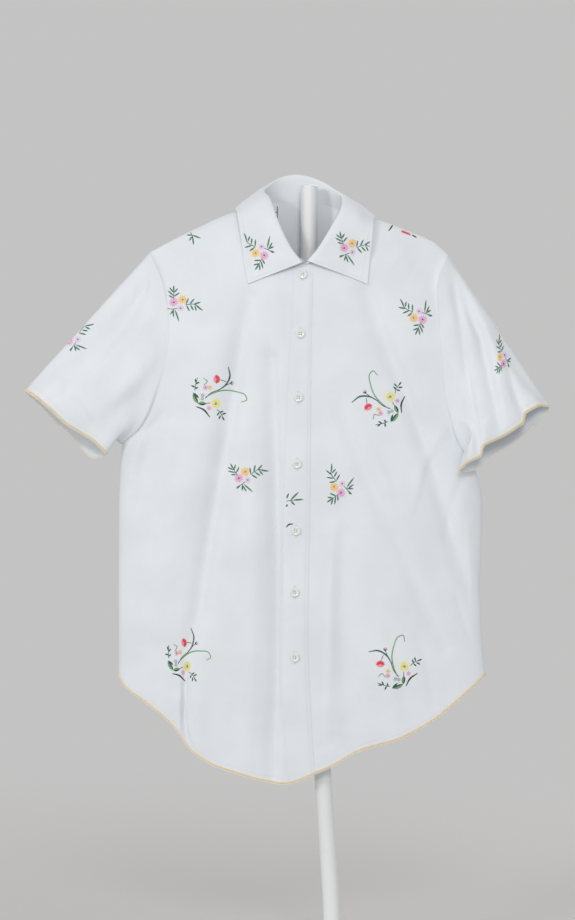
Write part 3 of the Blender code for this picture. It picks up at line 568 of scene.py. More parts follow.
def face_net(surface, lift=CLOTH / 2):
    """A piece's outer face, for rays that find the cloth."""
    points, out = SURFACES[surface]
    face = points + out * lift
    index = np.arange(face.shape[0] * face.shape[1]).reshape(face.shape[:2])
    if surface.startswith("sleeve"):
        index = np.concatenate([index, index[:1]])
    quads = np.stack([index[:-1, :-1], index[1:, :-1], index[1:, 1:], index[:-1, 1:]], axis=-1).reshape(-1, 4)
    return BVHTree.FromPolygons(face.reshape(-1, 3).tolist(), quads.tolist())


quarter = np.sin(np.linspace(0, math.pi / 2, 34))
collar_stations = np.r_[quarter[:-1], np.linspace(1, 2, 50), 3 - quarter[::-1][1:]]
collar_across = np.r_[np.linspace(0, 0.30, 8), np.linspace(0.33, 0.52, 9), np.linspace(0.55, 1.0, 26)]
collar = collar_surface(collar_stations, collar_across)
collar_out = normals(collar, collar - COLLAR_MIDDLE)
round_collar, down_collar = collar_stations[:, None], collar_across[None, :]
soft = crumple(round_collar * CREASE_SCALE, down_collar * CREASE_SCALE, size=30, seed=11)
fall = np.clip((collar_across - 0.5) / 0.2, 0, 1) * np.clip((1 - collar_across) / 0.15, 0, 1)
collar = collar + collar_out * (0.5 * soft * fall[None, :])[..., None]
chests = [face_net(f"front_{side}") for side in ("left", "right")]
settle = np.zeros(collar.shape[:2])
for i, station in enumerate(collar_stations):
    near_point = np.clip((abs(station - 1.5) - 0.75) / 0.35, 0, 1)
    for j, share in enumerate(collar_across):
        if near_point > 0 and share > 0.5:
            x, y, z = collar[i, j]
            hits = [net.ray_cast((x, -FAR, z), (0.0, 1.0, 0.0))[0] for net in chests]
            faces = [hit[1] for hit in hits if hit is not None]
            if faces:
                drop = np.clip(min(faces) - FALL_REST - y, *FALL_LIMITS)
                settle[i, j] = near_point * min(1.0, (share - 0.5) / 0.35) * drop
for _ in range(5):
    wide = np.pad(settle, 1, mode="edge")
    settle = (wide[:-2, 1:-1] + wide[2:, 1:-1] + wide[1:-1, :-2] + wide[1:-1, 2:] + 2 * wide[1:-1, 1:-1]) / 6
collar[..., 1] += settle
collar_out = normals(collar, collar - COLLAR_MIDDLE)
grain = np.stack(np.broadcast_arrays(round_collar * COLLAR_GRAIN[0], down_collar * COLLAR_GRAIN[1]), axis=-1)
collar_piece = shell("collar_cloth", "collar", collar, collar_out, grain, COLLAR_CLOTH)
SURFACES["collar"] = collar, collar_out

# Sleeves
# Short sleeves set into the armholes. The left one stands out and down, and the right one
# hangs before the side of the body in a sharp fold and a hollow beside it.
SLEEVE_ROUND, SLEEVE_RINGS = 220, 70
SLEEVE_GRAIN = 2.9, 3.4     # millimetres of cloth between the points round a sleeve and along it
CUFF_FLOW = 80.0            # how much sooner the cloth below comes out from the armhole than it goes down
CUFF_RUN = 2.4              # how far the cuffs run on below the solids', under the edging
# A roll of cloth under the arm beside the armhole: its height, and shares of the way out and round.
LIP_HEIGHT, LIP_RUN, LIP_PLACE, LIP_WIDTH = 3.0, 0.05, 0.42, 0.09

# Each cuff's highest and lowest point, its half depth, and how far the sleeve puffs out below. Ridges
# are (place round it, width, height), and edges are (share of the way down it, drop).
CUFF_LEFT = {"top": (-396, -6, 736), "under": (-288, -20, 656), "depth": 21, "puff": 25,
             "ridges": [(0.15, 0.05, 5), (0.33, 0.06, -4), (0.72, 0.09, 4), (0.85, 0.03, 1.2)],
             "front_edge": [(0, 0), (0.15, -1.2), (0.33, 0), (0.49, 3.0), (0.70, 0.9), (0.83, -0.8), (1, 3)],
             "back_edge": [(0, 0), (0.04, 2), (0.21, 4.2), (0.42, 10.5), (0.52, 9.4), (0.69, 13.8),
                           (0.84, 20), (0.92, 18), (1, 3)],
             "folds": [([(-240, 908), (-249, 860), (-275, 814), (-318, 765), (-352, 727)], 17, 11, -8.0),
                       ([(-236, 904), (-241, 884), (-243, 862)], 3, 3, -2.6),
                       ([(-246, 902), (-254, 876), (-262, 850)], 4, 3, 1.8),
                       ([(-232, 780), (-262, 742), (-300, 706)], 16, 12, 5.0),
                       ([(-356, 770), (-352, 742), (-350, 716)], 5, 7, 2.0),
                       ([(-330, 720), (-318, 702), (-310, 688)], 6, 4, -2.0)]}
CUFF_RIGHT = {"top": (279, -14, 715), "under": (160, -46, 636), "depth": 20, "puff": 100,
              "ridges": [(0.10, 0.035, 3), (0.75, 0.08, 4), (0.60, 0.03, 1.2), (0.88, 0.03, -1.2)],
              "front_edge": [(0, 0), (0.085, -8.8), (0.23, -11.2), (0.275, -1.4), (0.50, -1.8), (0.72, -7.3),
                             (0.765, 4.3), (0.9, 0), (1, 3)],
              "back_edge": [(0, 0), (0.02, 3.4), (0.22, 11.2), (0.49, 13.4), (0.70, 9.8), (0.77, 14.6),
                            (0.90, 14.2), (1, 3)],
              "folds": [([(154, 906), (173, 854), (193, 801), (206, 736), (215, 688)], 9, 4, -6.0),
                        ([(164, 906), (184, 854), (204, 801), (216, 736), (226, 688)], 6, 16, 5.0),
                        ([(225, 760), (236, 729), (246, 704), (248, 694)], 8, 4, -3.6),
                        ([(153, 897), (168, 812), (176, 741), (187, 672), (189, 650)], 8, 5, -4.6),
                        ([(196, 690), (192, 668), (190, 652)], 3, 10, 2.5)]}


def sleeve_surface(side, cuff):
    """Points of a sleeve, grid[round, ring], from the armhole to the cuff."""
    half = SLEEVE_ROUND // 2
    rows = ARM_ROW + (1 - ARM_ROW) * np.linspace(0, 1, half + 1)
    outer = (edge_of_side(rows, SIDE_LEFT, ARMHOLE_LEFT) if side == "left"
             else edge_of_side(rows, SIDE_RIGHT, ARMHOLE_RIGHT))
    depth = armhole_depth(rows)
    down = np.stack([outer[:, 0], -depth, outer[:, 1]], axis=-1)[::-1]
    up = np.stack([outer[:, 0], depth, outer[:, 1]], axis=-1)[1:-1]
    root = np.r_[down, up]
    turn = np.arange(len(root)) / len(root)
    top, under = np.array(cuff["top"], float), np.array(cuff["under"], float)
    middle, reach = (top + under) / 2, (top - under) / 2
    outward = unit(np.array([-reach[2], 0, reach[0]]))
    outward *= -np.sign(outward[2])
    level, front = np.cos(math.tau * turn)[:, None], np.sin(math.tau * turn)[:, None]
    loop = middle + reach * level - np.array([0, cuff["depth"], 0]) * front
    way = (np.linspace(0, 1, SLEEVE_RINGS + 1) ** 1.4)[None, :, None]
    ease = way * way * (3 - 2 * way)
    grid = root[:, None] * (1 - way) + loop[:, None] * way
    down = (1 - level[:, 0]) / 2
    drop = np.where(front[:, 0] >= 0, np.interp(down, *zip(*cuff["front_edge"])),
                    np.interp(down, *zip(*cuff["back_edge"])))
    blur = np.array([1, 2, 3, 2, 1]) / 9
    soft = np.convolve(np.pad(drop, 2, mode="wrap"), blur, mode="valid")
    softer = soft
    for _ in range(6):
        softer = np.convolve(np.pad(softer, 2, mode="wrap"), blur, mode="valid")
    soft = np.convolve(np.pad(soft, 2, mode="wrap"), blur, mode="valid")
    drop = np.where(front[:, 0] >= 0, soft, softer)
    grid += outward * (drop[:, None, None] * way**2 + CUFF_RUN * way**12)
    grid[..., 1] += (loop[:, None, 1] - root[:, None, 1]) * (ease - way)[..., 0]
    leave = unit(np.cross(np.roll(root, -1, axis=0) - np.roll(root, 1, axis=0), root - root.mean(axis=0)))
    leave *= 1 if (leave * (loop - root)).sum() > 0 else -1
    below = (0.5 - 0.5 * np.cos(math.tau * turn)) ** 2
    grid += leave[:, None] * cuff["puff"] * below[:, None, None] * way * (1 - way)
    grid -= outward * CUFF_FLOW * below[:, None, None] * way**2 * (1 - way)
    swell = np.zeros(grid.shape[:2])
    for place, width, height in cuff["ridges"]:
        away = np.abs((turn - place + 0.5) % 1 - 0.5)
        swell += height * np.exp(-(away / width) ** 2)[:, None] * ease[..., 0]
    inside = np.clip(way[..., 0] / 0.12, 0, 1)
    swell += fold_relief(grid[..., [0, 2]], cuff["folds"]) * np.clip(front * 2.5, 0, 1) * inside
    before_cuff = np.clip((1 - way[..., 0]) / 0.1, 0, 1)
    swell += 0.4 * crumple(grid[..., 0], grid[..., 2], size=30, seed=19) * inside * before_cuff
    lip = way[..., 0] / LIP_RUN * np.exp(1 - way[..., 0] / LIP_RUN)
    swell += LIP_HEIGHT * lip * np.exp(-((turn - LIP_PLACE) / LIP_WIDTH) ** 2)[:, None]
    bulge = normals(grid, grid - grid.mean(axis=0, keepdims=True), ring=True)
    return grid + bulge * swell[..., None]


for side, cuff in (("left", CUFF_LEFT), ("right", CUFF_RIGHT)):
    sleeve = sleeve_surface(side, cuff)
    sleeve_out = normals(sleeve, sleeve - sleeve.mean(axis=0, keepdims=True), ring=True)
    grain = np.stack(np.broadcast_arrays(np.arange(SLEEVE_ROUND)[:, None] * SLEEVE_GRAIN[0],
                                         np.arange(SLEEVE_RINGS + 1)[None, :] * SLEEVE_GRAIN[1]), axis=-1)
    sleeve_piece = shell(f"sleeve_{side}_cloth", f"sleeve_{side}", sleeve, sleeve_out, grain, ring=True)
    SURFACES[f"sleeve_{side}"] = sleeve, sleeve_out

# Sewing thread
# Lockstitch in white cotton thread, about ten stitches to the inch, along the armholes,
# shoulders, hem, cuffs, collar and both edges of the placket.
STITCH_PITCH = 2.6
STITCH = {"Length": 2.1 * MM, "Width": 0.55 * MM, "Height": 0.4 * MM}


def thread_material(name, colour, roughness=0.5):
    """Twisted cotton thread, a little uneven in colour along its length."""
    made, nodes, links, shader = plain_material(name, roughness, specular=0.35)
    shader.inputs["Sheen Weight"].default_value = 0.15
    place = nodes.new("ShaderNodeTexCoord")
    dye = noise(nodes, links, place.outputs["Object"], scale=600.0)
    darker = linear(*[channel * 0.92 for channel in colour])
    stepped_mix(nodes, links, dye, darker, linear(*colour), shader)
    return made


WHITE_THREAD = thread_material("white sewing thread", (232, 235, 236))


def instancing_tree(name, sizes, build):
    """A node tree that sets one small piece on every point, turned to its along and out directions."""
    tree = bpy.data.node_groups.new(name, "GeometryNodeTree")
    tree.is_modifier = True
    tree.interface.new_socket("Geometry", in_out="INPUT", socket_type="NodeSocketGeometry")
    for size in sizes:
        tree.interface.new_socket(size, in_out="INPUT", socket_type="NodeSocketFloat")
    tree.interface.new_socket("Finish", in_out="INPUT", socket_type="NodeSocketMaterial")
    tree.interface.new_socket("Geometry", in_out="OUTPUT", socket_type="NodeSocketGeometry")
    nodes, links = tree.nodes, tree.links
    given, result = nodes.new("NodeGroupInput"), nodes.new("NodeGroupOutput")
    piece = build(nodes, links, given.outputs)
    turn = nodes.new("FunctionNodeAxesToRotation")
    turn.primary_axis, turn.secondary_axis = "X", "Z"
    for attribute, socket in (("along", "Primary Axis"), ("out", "Secondary Axis")):
        read = nodes.new("GeometryNodeInputNamedAttribute")
        read.data_type = "FLOAT_VECTOR"
        read.inputs["Name"].default_value = attribute
        links.new(read.outputs["Attribute"], turn.inputs[socket])
    vary = nodes.new("FunctionNodeRandomValue")
    vary.data_type = "FLOAT_VECTOR"
    vary.inputs[0].default_value = (0.90, 0.92, 0.85)
    vary.inputs[1].default_value = (1.06, 1.05, 1.12)
    vary.inputs["Seed"].default_value = 4
    instance = nodes.new("GeometryNodeInstanceOnPoints")
    links.new(given.outputs["Geometry"], instance.inputs["Points"])
    links.new(piece, instance.inputs["Instance"])
    links.new(turn.outputs["Rotation"], instance.inputs["Rotation"])
    links.new(vary.outputs["Value"], instance.inputs["Scale"])
    real = nodes.new("GeometryNodeRealizeInstances")
    smooth = nodes.new("GeometryNodeSetShadeSmooth")
    finish = nodes.new("GeometryNodeSetMaterial")
    links.new(instance.outputs["Instances"], real.inputs["Geometry"])
    links.new(real.outputs["Geometry"], smooth.inputs["Geometry"])
    links.new(smooth.outputs["Geometry"], finish.inputs["Geometry"])
    links.new(given.outputs["Finish"], finish.inputs["Material"])
    links.new(finish.outputs["Geometry"], result.inputs["Geometry"])
    return tree


def one_stitch(nodes, links, given):
    """A flattened bead of the given length, width and height."""
    bead = nodes.new("GeometryNodeMeshUVSphere")
    bead.inputs["Segments"].default_value = 6
    bead.inputs["Rings"].default_value = 4
    bead.inputs["Radius"].default_value = 0.5
    upright = nodes.new("GeometryNodeTransform")
    upright.inputs["Rotation"].default_value = (0, math.pi / 2, 0)
    size = nodes.new("ShaderNodeCombineXYZ")
    shape = nodes.new("GeometryNodeTransform")
    for axis, name in zip("XYZ", ("Length", "Width", "Height")):
        links.new(given[name], size.inputs[axis])
    links.new(bead.outputs["Mesh"], upright.inputs["Geometry"])
    links.new(upright.outputs["Geometry"], shape.inputs["Geometry"])
    links.new(size.outputs["Vector"], shape.inputs["Scale"])
    return shape.outputs["Geometry"]


def made_plain(obj):
    """Gives the object, as its plain mesh, what its modifiers make of it, and takes them off."""
    bpy.context.view_layer.update()
    seen = obj.evaluated_get(bpy.context.evaluated_depsgraph_get())
    plain = bpy.data.meshes.new_from_object(seen)
    obj.modifiers.clear()
    obj.data = plain
    return plain


def set_along(name, tree, lines, pitch, sizes, finish):
    """A tree's pieces every pitch millimetres along lines of (points, along, out), as one plain mesh."""
    places, alongs, outs = [], [], []
    for points, along, out in lines:
        run = np.r_[0, np.cumsum(np.linalg.norm(np.diff(points, axis=0), axis=1))]
        where = np.arange(pitch / 2, run[-1], pitch)
        for source, kept in ((points, places), (along, alongs), (out, outs)):
            kept.append(np.stack([np.interp(where, run, source[:, axis]) for axis in range(3)], axis=1))
    places, alongs, outs = (np.concatenate(kept) for kept in (places, alongs, outs))
    data = bpy.data.meshes.new(name)
    data.from_pydata((places * MM).tolist(), [], [])
    for attribute, values in (("along", unit(alongs)), ("out", unit(outs))):
        made = data.attributes.new(attribute, "FLOAT_VECTOR", "POINT")
        made.data.foreach_set("vector", values.astype(np.float32).ravel())
    obj = bpy.data.objects.new(name, data)
    bpy.context.scene.collection.objects.link(obj)
    modifier = obj.modifiers.new("pieces", "NODES")
    modifier.node_group = tree
    for socket in tree.interface.items_tree:
        if socket.in_out == "INPUT" and socket.name in sizes:
            modifier[socket.identifier] = sizes[socket.name]
        if socket.in_out == "INPUT" and socket.name == "Finish":
            modifier[socket.identifier] = finish
    plain = made_plain(obj)
    for attribute in [a.name for a in plain.attributes if a.name in ("along", "out")]:
        plain.attributes.remove(plain.attributes[attribute])
    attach(obj, "root")
    return obj


def line_on(surface, take, lift=CLOTH / 2):
    """A line (points, along, out) on a piece's outer face, through the grid places that take picks."""
    points, out = SURFACES[surface]
    points, out = take(points), take(out)
    along = unit(np.gradient(points, axis=0))
    return points + out * (lift + 0.05), along, out


def closed(line):
    """A line of points that comes back to its start."""
    return np.concatenate([line, line[:1]])


ARM_START = int(np.searchsorted(front_rows, ARM_ROW))
seam_lines = []
for side in ("left", "right"):
    panel = f"front_{side}"
    seam_lines += [line_on(panel, lambda g: (g[-4, ARM_START:] + g[-3, ARM_START:]) / 2),
                   line_on(panel, lambda g: g[8:, -4]), line_on(panel, lambda g: g[3:-2, 2])]
    seam_lines.append(line_on(f"sleeve_{side}", lambda g: closed(g[:, -3])))
for column in (3, -4):
    seam_lines.append(line_on("back", lambda g: g[column, ARM_START:]))
seam_lines += [line_on("back", lambda g: g[3:-3, 2]), line_on("back", lambda g: g[4:60, -4]),
               line_on("back", lambda g: g[-60:-4, -4])]
for column in (1, -3):
    seam_lines.append(line_on("placket", lambda g: g[column, 1:-1], PLACKET_CLOTH / 2))
seam_lines += [line_on("collar", take, COLLAR_CLOTH / 2) for take in (
    lambda g: g[1:-1, -4], lambda g: g[1, -26:-2], lambda g: g[-2, -26:-2])]
stitch_tree = instancing_tree("running stitches", ("Length", "Width", "Height"), one_stitch)
set_along("seam_thread", stitch_tree, seam_lines, STITCH_PITCH, STITCH, WHITE_THREAD)

# Looped edging
# A narrow crocheted edging on the hem and both cuffs: slanted yellow overcast stitches that
# carry the cloth's edge on, and a row of small cream loops below them.
YELLOW_THREAD = thread_material("yellow edging thread", (255, 230, 178))
CREAM_THREAD = thread_material("cream loop thread", (255, 249, 232))
BAND_HEIGHT, BAND_LIFT, BAND_OVERHANG = 2.5, 0.75, 0.5
SLANT = 0.85, 0.5           # how far a stitch runs down and along the edge
LOOP_SHIFT = 0.35           # how far the loops start below the edge and before it
OVERCAST_PITCH, LOOP_PITCH = 1.3, 2.3
OVERCAST = {"Length": 3.4 * MM, "Width": 1.05 * MM, "Height": 0.9 * MM}
LOOP = {"Reach": 1.15 * MM, "Thread": 0.85 * MM}


def one_loop(nodes, links, given):
    """A small open loop of thread that hangs below its point."""
    arc = nodes.new("GeometryNodeCurveArc")
    arc.inputs["Resolution"].default_value = 8
    arc.inputs["Start Angle"].default_value = math.pi - 0.5
    arc.inputs["Sweep Angle"].default_value = math.pi + 1.0
    links.new(given["Reach"], arc.inputs["Radius"])
    ring = nodes.new("GeometryNodeCurvePrimitiveCircle")
    ring.inputs["Resolution"].default_value = 5
    half = nodes.new("ShaderNodeMath")
    half.operation = "MULTIPLY"
    half.inputs[1].default_value = 0.5
    links.new(given["Thread"], half.inputs[0])
    links.new(half.outputs["Value"], ring.inputs["Radius"])
    sweep = nodes.new("GeometryNodeCurveToMesh")
    sweep.inputs["Fill Caps"].default_value = True
    links.new(arc.outputs["Curve"], sweep.inputs["Curve"])
    links.new(ring.outputs["Curve"], sweep.inputs["Profile Curve"])
    return sweep.outputs["Mesh"]


def edge_lines(edge, out, above, shut=False):
    """The overcast row on an edge's outer face and the loops' row below it, each as (points, along, out)."""
    if shut:
        edge, out, above = closed(edge), closed(out), closed(above)
    away = unit(edge - above)
    ahead = unit(np.gradient(edge, axis=0))
    flip = np.sign((np.cross(out, ahead) * away).sum(axis=1, keepdims=True))
    ahead = -ahead * flip
    slanted = unit(away * SLANT[0] + ahead * SLANT[1])
    return ((edge - away * (BAND_HEIGHT / 2 - BAND_OVERHANG) + out * BAND_LIFT, slanted, out),
            (edge + (away + out) * LOOP_SHIFT, ahead, out))


left_front, left_out = SURFACES["front_left"]
right_front, right_out = SURFACES["front_right"]
back_grid, back_grid_out = SURFACES["back"]
hem_rows = [(left_front[2:, 0], left_out[2:, 0], left_front[2:, 1]),
            (strip[:, 0], strip_out[:, 0], strip[:, 1]),
            (right_front[2:, 0], right_out[2:, 0], right_front[2:, 1]),
            (back_grid[:, 0], back_grid_out[:, 0], back_grid[:, 1])]
loop_tree = instancing_tree("picot loops", ("Reach", "Thread"), one_loop)


def looped_edging(name, node, rows, shut=False):
    """A band of overcast stitches that stands for the node, and the loops that hang from it."""
    lines = [edge_lines(*row, shut=shut) for row in rows]
    band = set_along(name, stitch_tree, [line[0] for line in lines], OVERCAST_PITCH, OVERCAST, YELLOW_THREAD)
    set_along(name + "_loops", loop_tree, [line[1] for line in lines], LOOP_PITCH, LOOP, CREAM_THREAD)
    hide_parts(node)


looped_edging("hem_overcast", "hem_edging", hem_rows)
for side in ("left", "right"):
    grid, grid_out = SURFACES[f"sleeve_{side}"]
    cuff_rows = [(grid[:, -1], grid_out[:, -1], grid[:, -2])]
    looped_edging(f"cuff_overcast_{side}", f"cuff_edging_{side}", cuff_rows, shut=True)

# Buttons
# Seven small four-hole shirt buttons of pearly plastic, turned with a raised rim and sewn on
# with crossed white thread. Each one has come through its buttonhole in the placket.
BUTTON_HEIGHTS = [882, 806, 724, 638, 552, 473, 389]
BUTTON_LIFT = 0.75          # from the placket's middle face to the button's back
HOLE_RADIUS, HOLE_PLACE = 0.75, 1.25
# The crossed thread: its height over the placket, half width, shift of each strand and pitch.
CROSS_LIFT, CROSS_REACH, CROSS_SHIFT, CROSS_PITCH = 2.6, HOLE_PLACE * 1.15, 0.2, 3.3
CROSS = {"Length": 3.6 * MM, "Width": 0.5 * MM, "Height": 0.5 * MM}
BUTTON_PROFILE = [(0, 0.15), (4.3, 0.15), (5.2, 0.45), (5.65, 1.0), (5.75, 1.5), (5.65, 2.05), (5.3, 2.45),
                  (4.8, 2.6), (4.3, 2.5), (3.8, 2.15), (3.3, 1.85), (2.6, 1.7), (0, 1.65)]


def pearl_plastic():
    """Polished plastic with the cloudy bands of shell."""
    made, nodes, links, shader = plain_material("pearl shirt button", roughness=0.22, specular=0.5)
    shader.inputs["Coat Weight"].default_value = 0.3
    place = nodes.new("ShaderNodeTexCoord")
    cloud = noise(nodes, links, place.outputs["Object"], scale=260.0, distortion=1.2)
    stepped_mix(nodes, links, cloud, linear(222, 224, 222), linear(244, 244, 240), shader)
    return made


def turned(profile, sides, place):
    """Points and faces of a solid turned from (radius, height) rows, put in place by a function."""
    turn = np.arange(sides) * math.tau / sides
    points, rings = [], []
    for radius, height in profile:
        if radius == 0:
            rings.append([len(points)])
            points.append(place(0.0, 0.0, height))
        else:
            rings.append(list(range(len(points), len(points) + sides)))
            points += [place(radius * math.cos(t), radius * math.sin(t), height) for t in turn]
    faces = []
    for low, high in zip(rings, rings[1:]):
        for k in range(sides):
            j = (k + 1) % sides
            if len(low) == 1:
                faces.append((low[0], high[j], high[k]))
            elif len(high) == 1:
                faces.append((low[k], low[j], high[0]))
            else:
                faces.append((low[k], low[j], high[j], high[k]))
    return points, faces


def outwards(obj):
    """Turns a closed mesh's faces outwards."""
    tidy = bmesh.new()
    tidy.from_mesh(obj.data)
    if tidy.calc_volume(signed=True) < 0:
        bmesh.ops.reverse_faces(tidy, faces=tidy.faces)
    tidy.to_mesh(obj.data)
    tidy.free()


def placket_place(height):
    """The (x, y) of the placket's middle line at a height."""
    middle_line = strip[len(strip) // 2]
    return [np.interp(height, middle_line[:, 2], middle_line[:, axis]) for axis in (0, 1)]


PEARL = pearl_plastic()
for number, height in enumerate(BUTTON_HEIGHTS, 1):
    at_x, at_y = placket_place(height)

    def seat(across, up, out):
        return at_x + across, at_y - BUTTON_LIFT - out, height + up

    disc = mesh_object(f"button_{number}_disc", *turned(BUTTON_PROFILE, sides=40, place=seat), [PEARL])
    outwards(disc)
    for dx, dz in ((-1, -1), (1, -1), (1, 1), (-1, 1)):
        drill_points, drill_faces = turned(
            [(0, -1), (HOLE_RADIUS, -1), (HOLE_RADIUS, 4), (0, 4)], sides=12,
            place=lambda a, b, h: seat(dx * HOLE_PLACE + a, dz * HOLE_PLACE + b, h))
        drill_data = bpy.data.meshes.new("drill")
        drill_data.from_pydata((np.array(drill_points) * MM).tolist(), [], drill_faces)
        drill = bpy.data.objects.new("drill", drill_data)
        bpy.context.scene.collection.objects.link(drill)
        outwards(drill)
        cut = disc.modifiers.new("hole", "BOOLEAN")
        cut.operation, cut.solver, cut.object = "DIFFERENCE", "EXACT", drill
        made_plain(disc)
        bpy.data.objects.remove(drill)
    disc.data.shade_smooth()
    disc.data.set_sharp_from_angle(angle=math.radians(40))
    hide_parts(f"button_{number}")

crossed = []
for height in BUTTON_HEIGHTS:
    at_x, at_y = placket_place(height)
    for slope in (-1, 1):
        for shift in (-CROSS_SHIFT, CROSS_SHIFT):
            ends = np.array([(at_x + s * CROSS_REACH + shift, at_y - CROSS_LIFT,
                              height + slope * s * CROSS_REACH) for s in (-1, 1)])
            along = np.repeat(ends[1:] - ends[:1], 2, axis=0)
            crossed.append((ends, along, np.tile([0.0, -1.0, 0.0], (2, 1))))
set_along("button_thread", stitch_tree, crossed, CROSS_PITCH, CROSS, WHITE_THREAD)

# Embroidery
# Small sprays of flowers in stranded cotton, worked by hand all over the cloth before it was
# cut, so the seams cut some of them. Petals and leaves are long stitches laid side by side,
# stems are stem stitch and the flowers' hearts are knots.
THREADS = {
    "orange": (255, 216, 142), "ochre": (214, 146, 78), "pink": (246, 186, 222), "lilac": (242, 220, 244),
    "plum": (150, 74, 140), "dark green": (46, 98, 82), "leaf green": (92, 140, 118),
    "green": (124, 172, 118), "ink green": (24, 56, 48), "red": (236, 72, 84), "rose": (248, 156, 176),
    "yellow": (252, 244, 116), "blue": (164, 174, 226), "white": (232, 235, 236)}
THREAD_NAMES = list(THREADS)
THREAD_FINISHES = [thread_material(f"{name} embroidery thread", colour, 0.42)
                   for name, colour in THREADS.items()]
PIXEL = 1.3                 # millimetres to a pixel of the photo
MIDDLE_PX, GROUND_PX = 332, 955         # the pixel column of x = 0 and the row of z = 0
# Past these a stitch would lie on cloth that faces sideways, or cross an edge.
LEAST_FACING, LONGEST_STEP = 0.16, 4.0


def laid(a, b, thread, width=0.75, height=0.38, bow=0.0):
    """One stitch from a to b, bowed sideways: its four points, width, height and thread."""
    a, b = np.array(a, float), np.array(b, float)
    side = np.array([a[1] - b[1], b[0] - a[0]]) / max(np.linalg.norm(b - a), 1e-6)
    steps = np.array([0.0, 0.3, 0.7, 1.0])
    line = a + (b - a) * steps[:, None] + side * (bow * np.array([0.1, 1.0, 1.0, 0.1]))[:, None]
    return line, width, height, thread


def leaf(base, tip, width, lower="dark green", upper="dark green"):
    """A leaf of three long stitches from its base to its tip, or of five in a broad one."""
    shares = (0.30, 0.0, -0.30) if width < 3 else (0.38, 0.19, 0.0, -0.19, -0.38)
    return [laid(base, tip, lower if share > 0 else upper, width / len(shares) * 1.25,
                 0.36 + 0.1 * (share == 0), width * share) for share in shares]


def smooth_line(route, pitch):
    """A smooth line through (x, z) points as rows of (place, direction) about a pitch apart."""
    curve = through(route)
    rough = curve(np.linspace(0, 1, 60))
    length = np.linalg.norm(np.diff(rough, axis=0), axis=1).sum()
    line = curve(np.linspace(0, 1, max(2, int(round(length / pitch)) + 1)))
    return line, unit(np.gradient(line, axis=0))


def stem(route, thread, width=0.85):
    """Stem stitch: stitches along a line, each started beside the middle of the last."""
    line, ahead = smooth_line(route, 2.2)
    side = np.stack([-ahead[:, 1], ahead[:, 0]], axis=1) * 0.16
    return [laid(a - s, b + (b - a) * 0.5 + s, thread, width, 0.42)
            for a, b, s in zip(line[:-1], line[1:], side)]


def satin(route, widths, thread, pitch=0.62, lean=0.9):
    """Satin stitch: short slanted stitches packed side by side across a band."""
    line, ahead = smooth_line(route, pitch)
    half = np.interp(np.linspace(0, 1, len(line)), np.linspace(0, 1, len(widths)), widths) / 2
    side = np.stack([-ahead[:, 1], ahead[:, 0]], axis=1)
    return [laid(p - s * h - a * h * lean, p + s * h + a * h * lean, thread, pitch * 1.25, 0.4)
            for p, a, s, h in zip(line, ahead, side, half)]


def knots(centre, radius, count, thread, size=0.95):
    """French knots packed in a small round."""
    made = []
    for k in range(count):
        turn, away = k * 2.4, radius * math.sqrt((k + 0.3) / count)
        place = np.array(centre, float) + away * np.array([math.cos(turn), math.sin(turn)])
        tilt = np.array([math.cos(turn * 1.7), math.sin(turn * 1.7)]) * size * 0.5
        made.append(laid(place - tilt, place + tilt, thread, size, 0.75))
    return made


def daisy(centre, radius, petals, thread, heart, turn=0.0, inner=0.30):
    """A flower of petals, three long stitches each, round a heart of knots."""
    made = []
    centre = np.array(centre, float)
    for k in range(petals):
        angle = turn + math.tau * k / petals
        out = np.array([math.cos(angle), math.sin(angle)])
        base, tip = centre + out * radius * inner, centre + out * radius
        spread, wide = 0.9 * radius / petals, 1.4 * radius / petals
        made += [laid(base, tip - out * 0.5, thread, wide, 0.4, spread),
                 laid(base, tip, thread, wide, 0.48, 0.0),
                 laid(base, tip - out * 0.5, thread, wide, 0.4, -spread)]
    return made + knots(centre, radius * inner * 0.8, 6, heart, radius * 0.17)


def small_spray():
    """Three daisies, an orange, a pink and a lilac one, with three leafy sprigs round them."""
    made = stem([(-7, 5), (-7, 12), (-7, 19)], "dark green")
    made += stem([(8.5, -2.3), (20, -2), (30, -9.3)], "dark green")
    made += stem([(-15.5, -7.4), (-8.5, -7.7), (-3, -7)], "dark green")
    for base, tip in (
            ((-7, 14.5), (-7, 23.0)), ((-7.2, 9.5), (-14.7, 16.3)), ((-6.8, 8.5), (0.8, 13.5)),
            ((-7.2, 13.6), (-12.6, 20.4)), ((-6.8, 13.4), (-1.8, 18.8)), ((-7.4, 6.6), (-13.6, 10.2)),
            ((9.0, -1.8), (12.4, 6.2)), ((13.7, -1.6), (20, 5.4)), ((18.6, -2.0), (28, 0.8)),
            ((9.4, -2.9), (13.6, -10.9)), ((14.8, -2.6), (18.6, -10)), ((20.5, -3.2), (22.2, -10.6)),
            ((22.5, -3.9), (30, -9.8)),
            ((-7.7, -8.5), (-7, -18.6)), ((-5.4, -8.5), (0, -24)), ((-6.6, -8.0), (-11.6, -15.0)),
            ((-9.5, -7.6), (-16.5, -9.2))):
        made += leaf(base, tip, 1.9, "dark green", "leaf green")
    made += daisy((1.9, -6.7), 5.0, 10, "lilac", "plum", 0.4, 0.22)
    made += daisy((-7.0, 1.1), 6.6, 12, "pink", "plum", 0.2, 0.22)
    made += daisy((4.3, 4.3), 6.6, 12, "orange", "ochre", 0.5, 0.22)
    return made


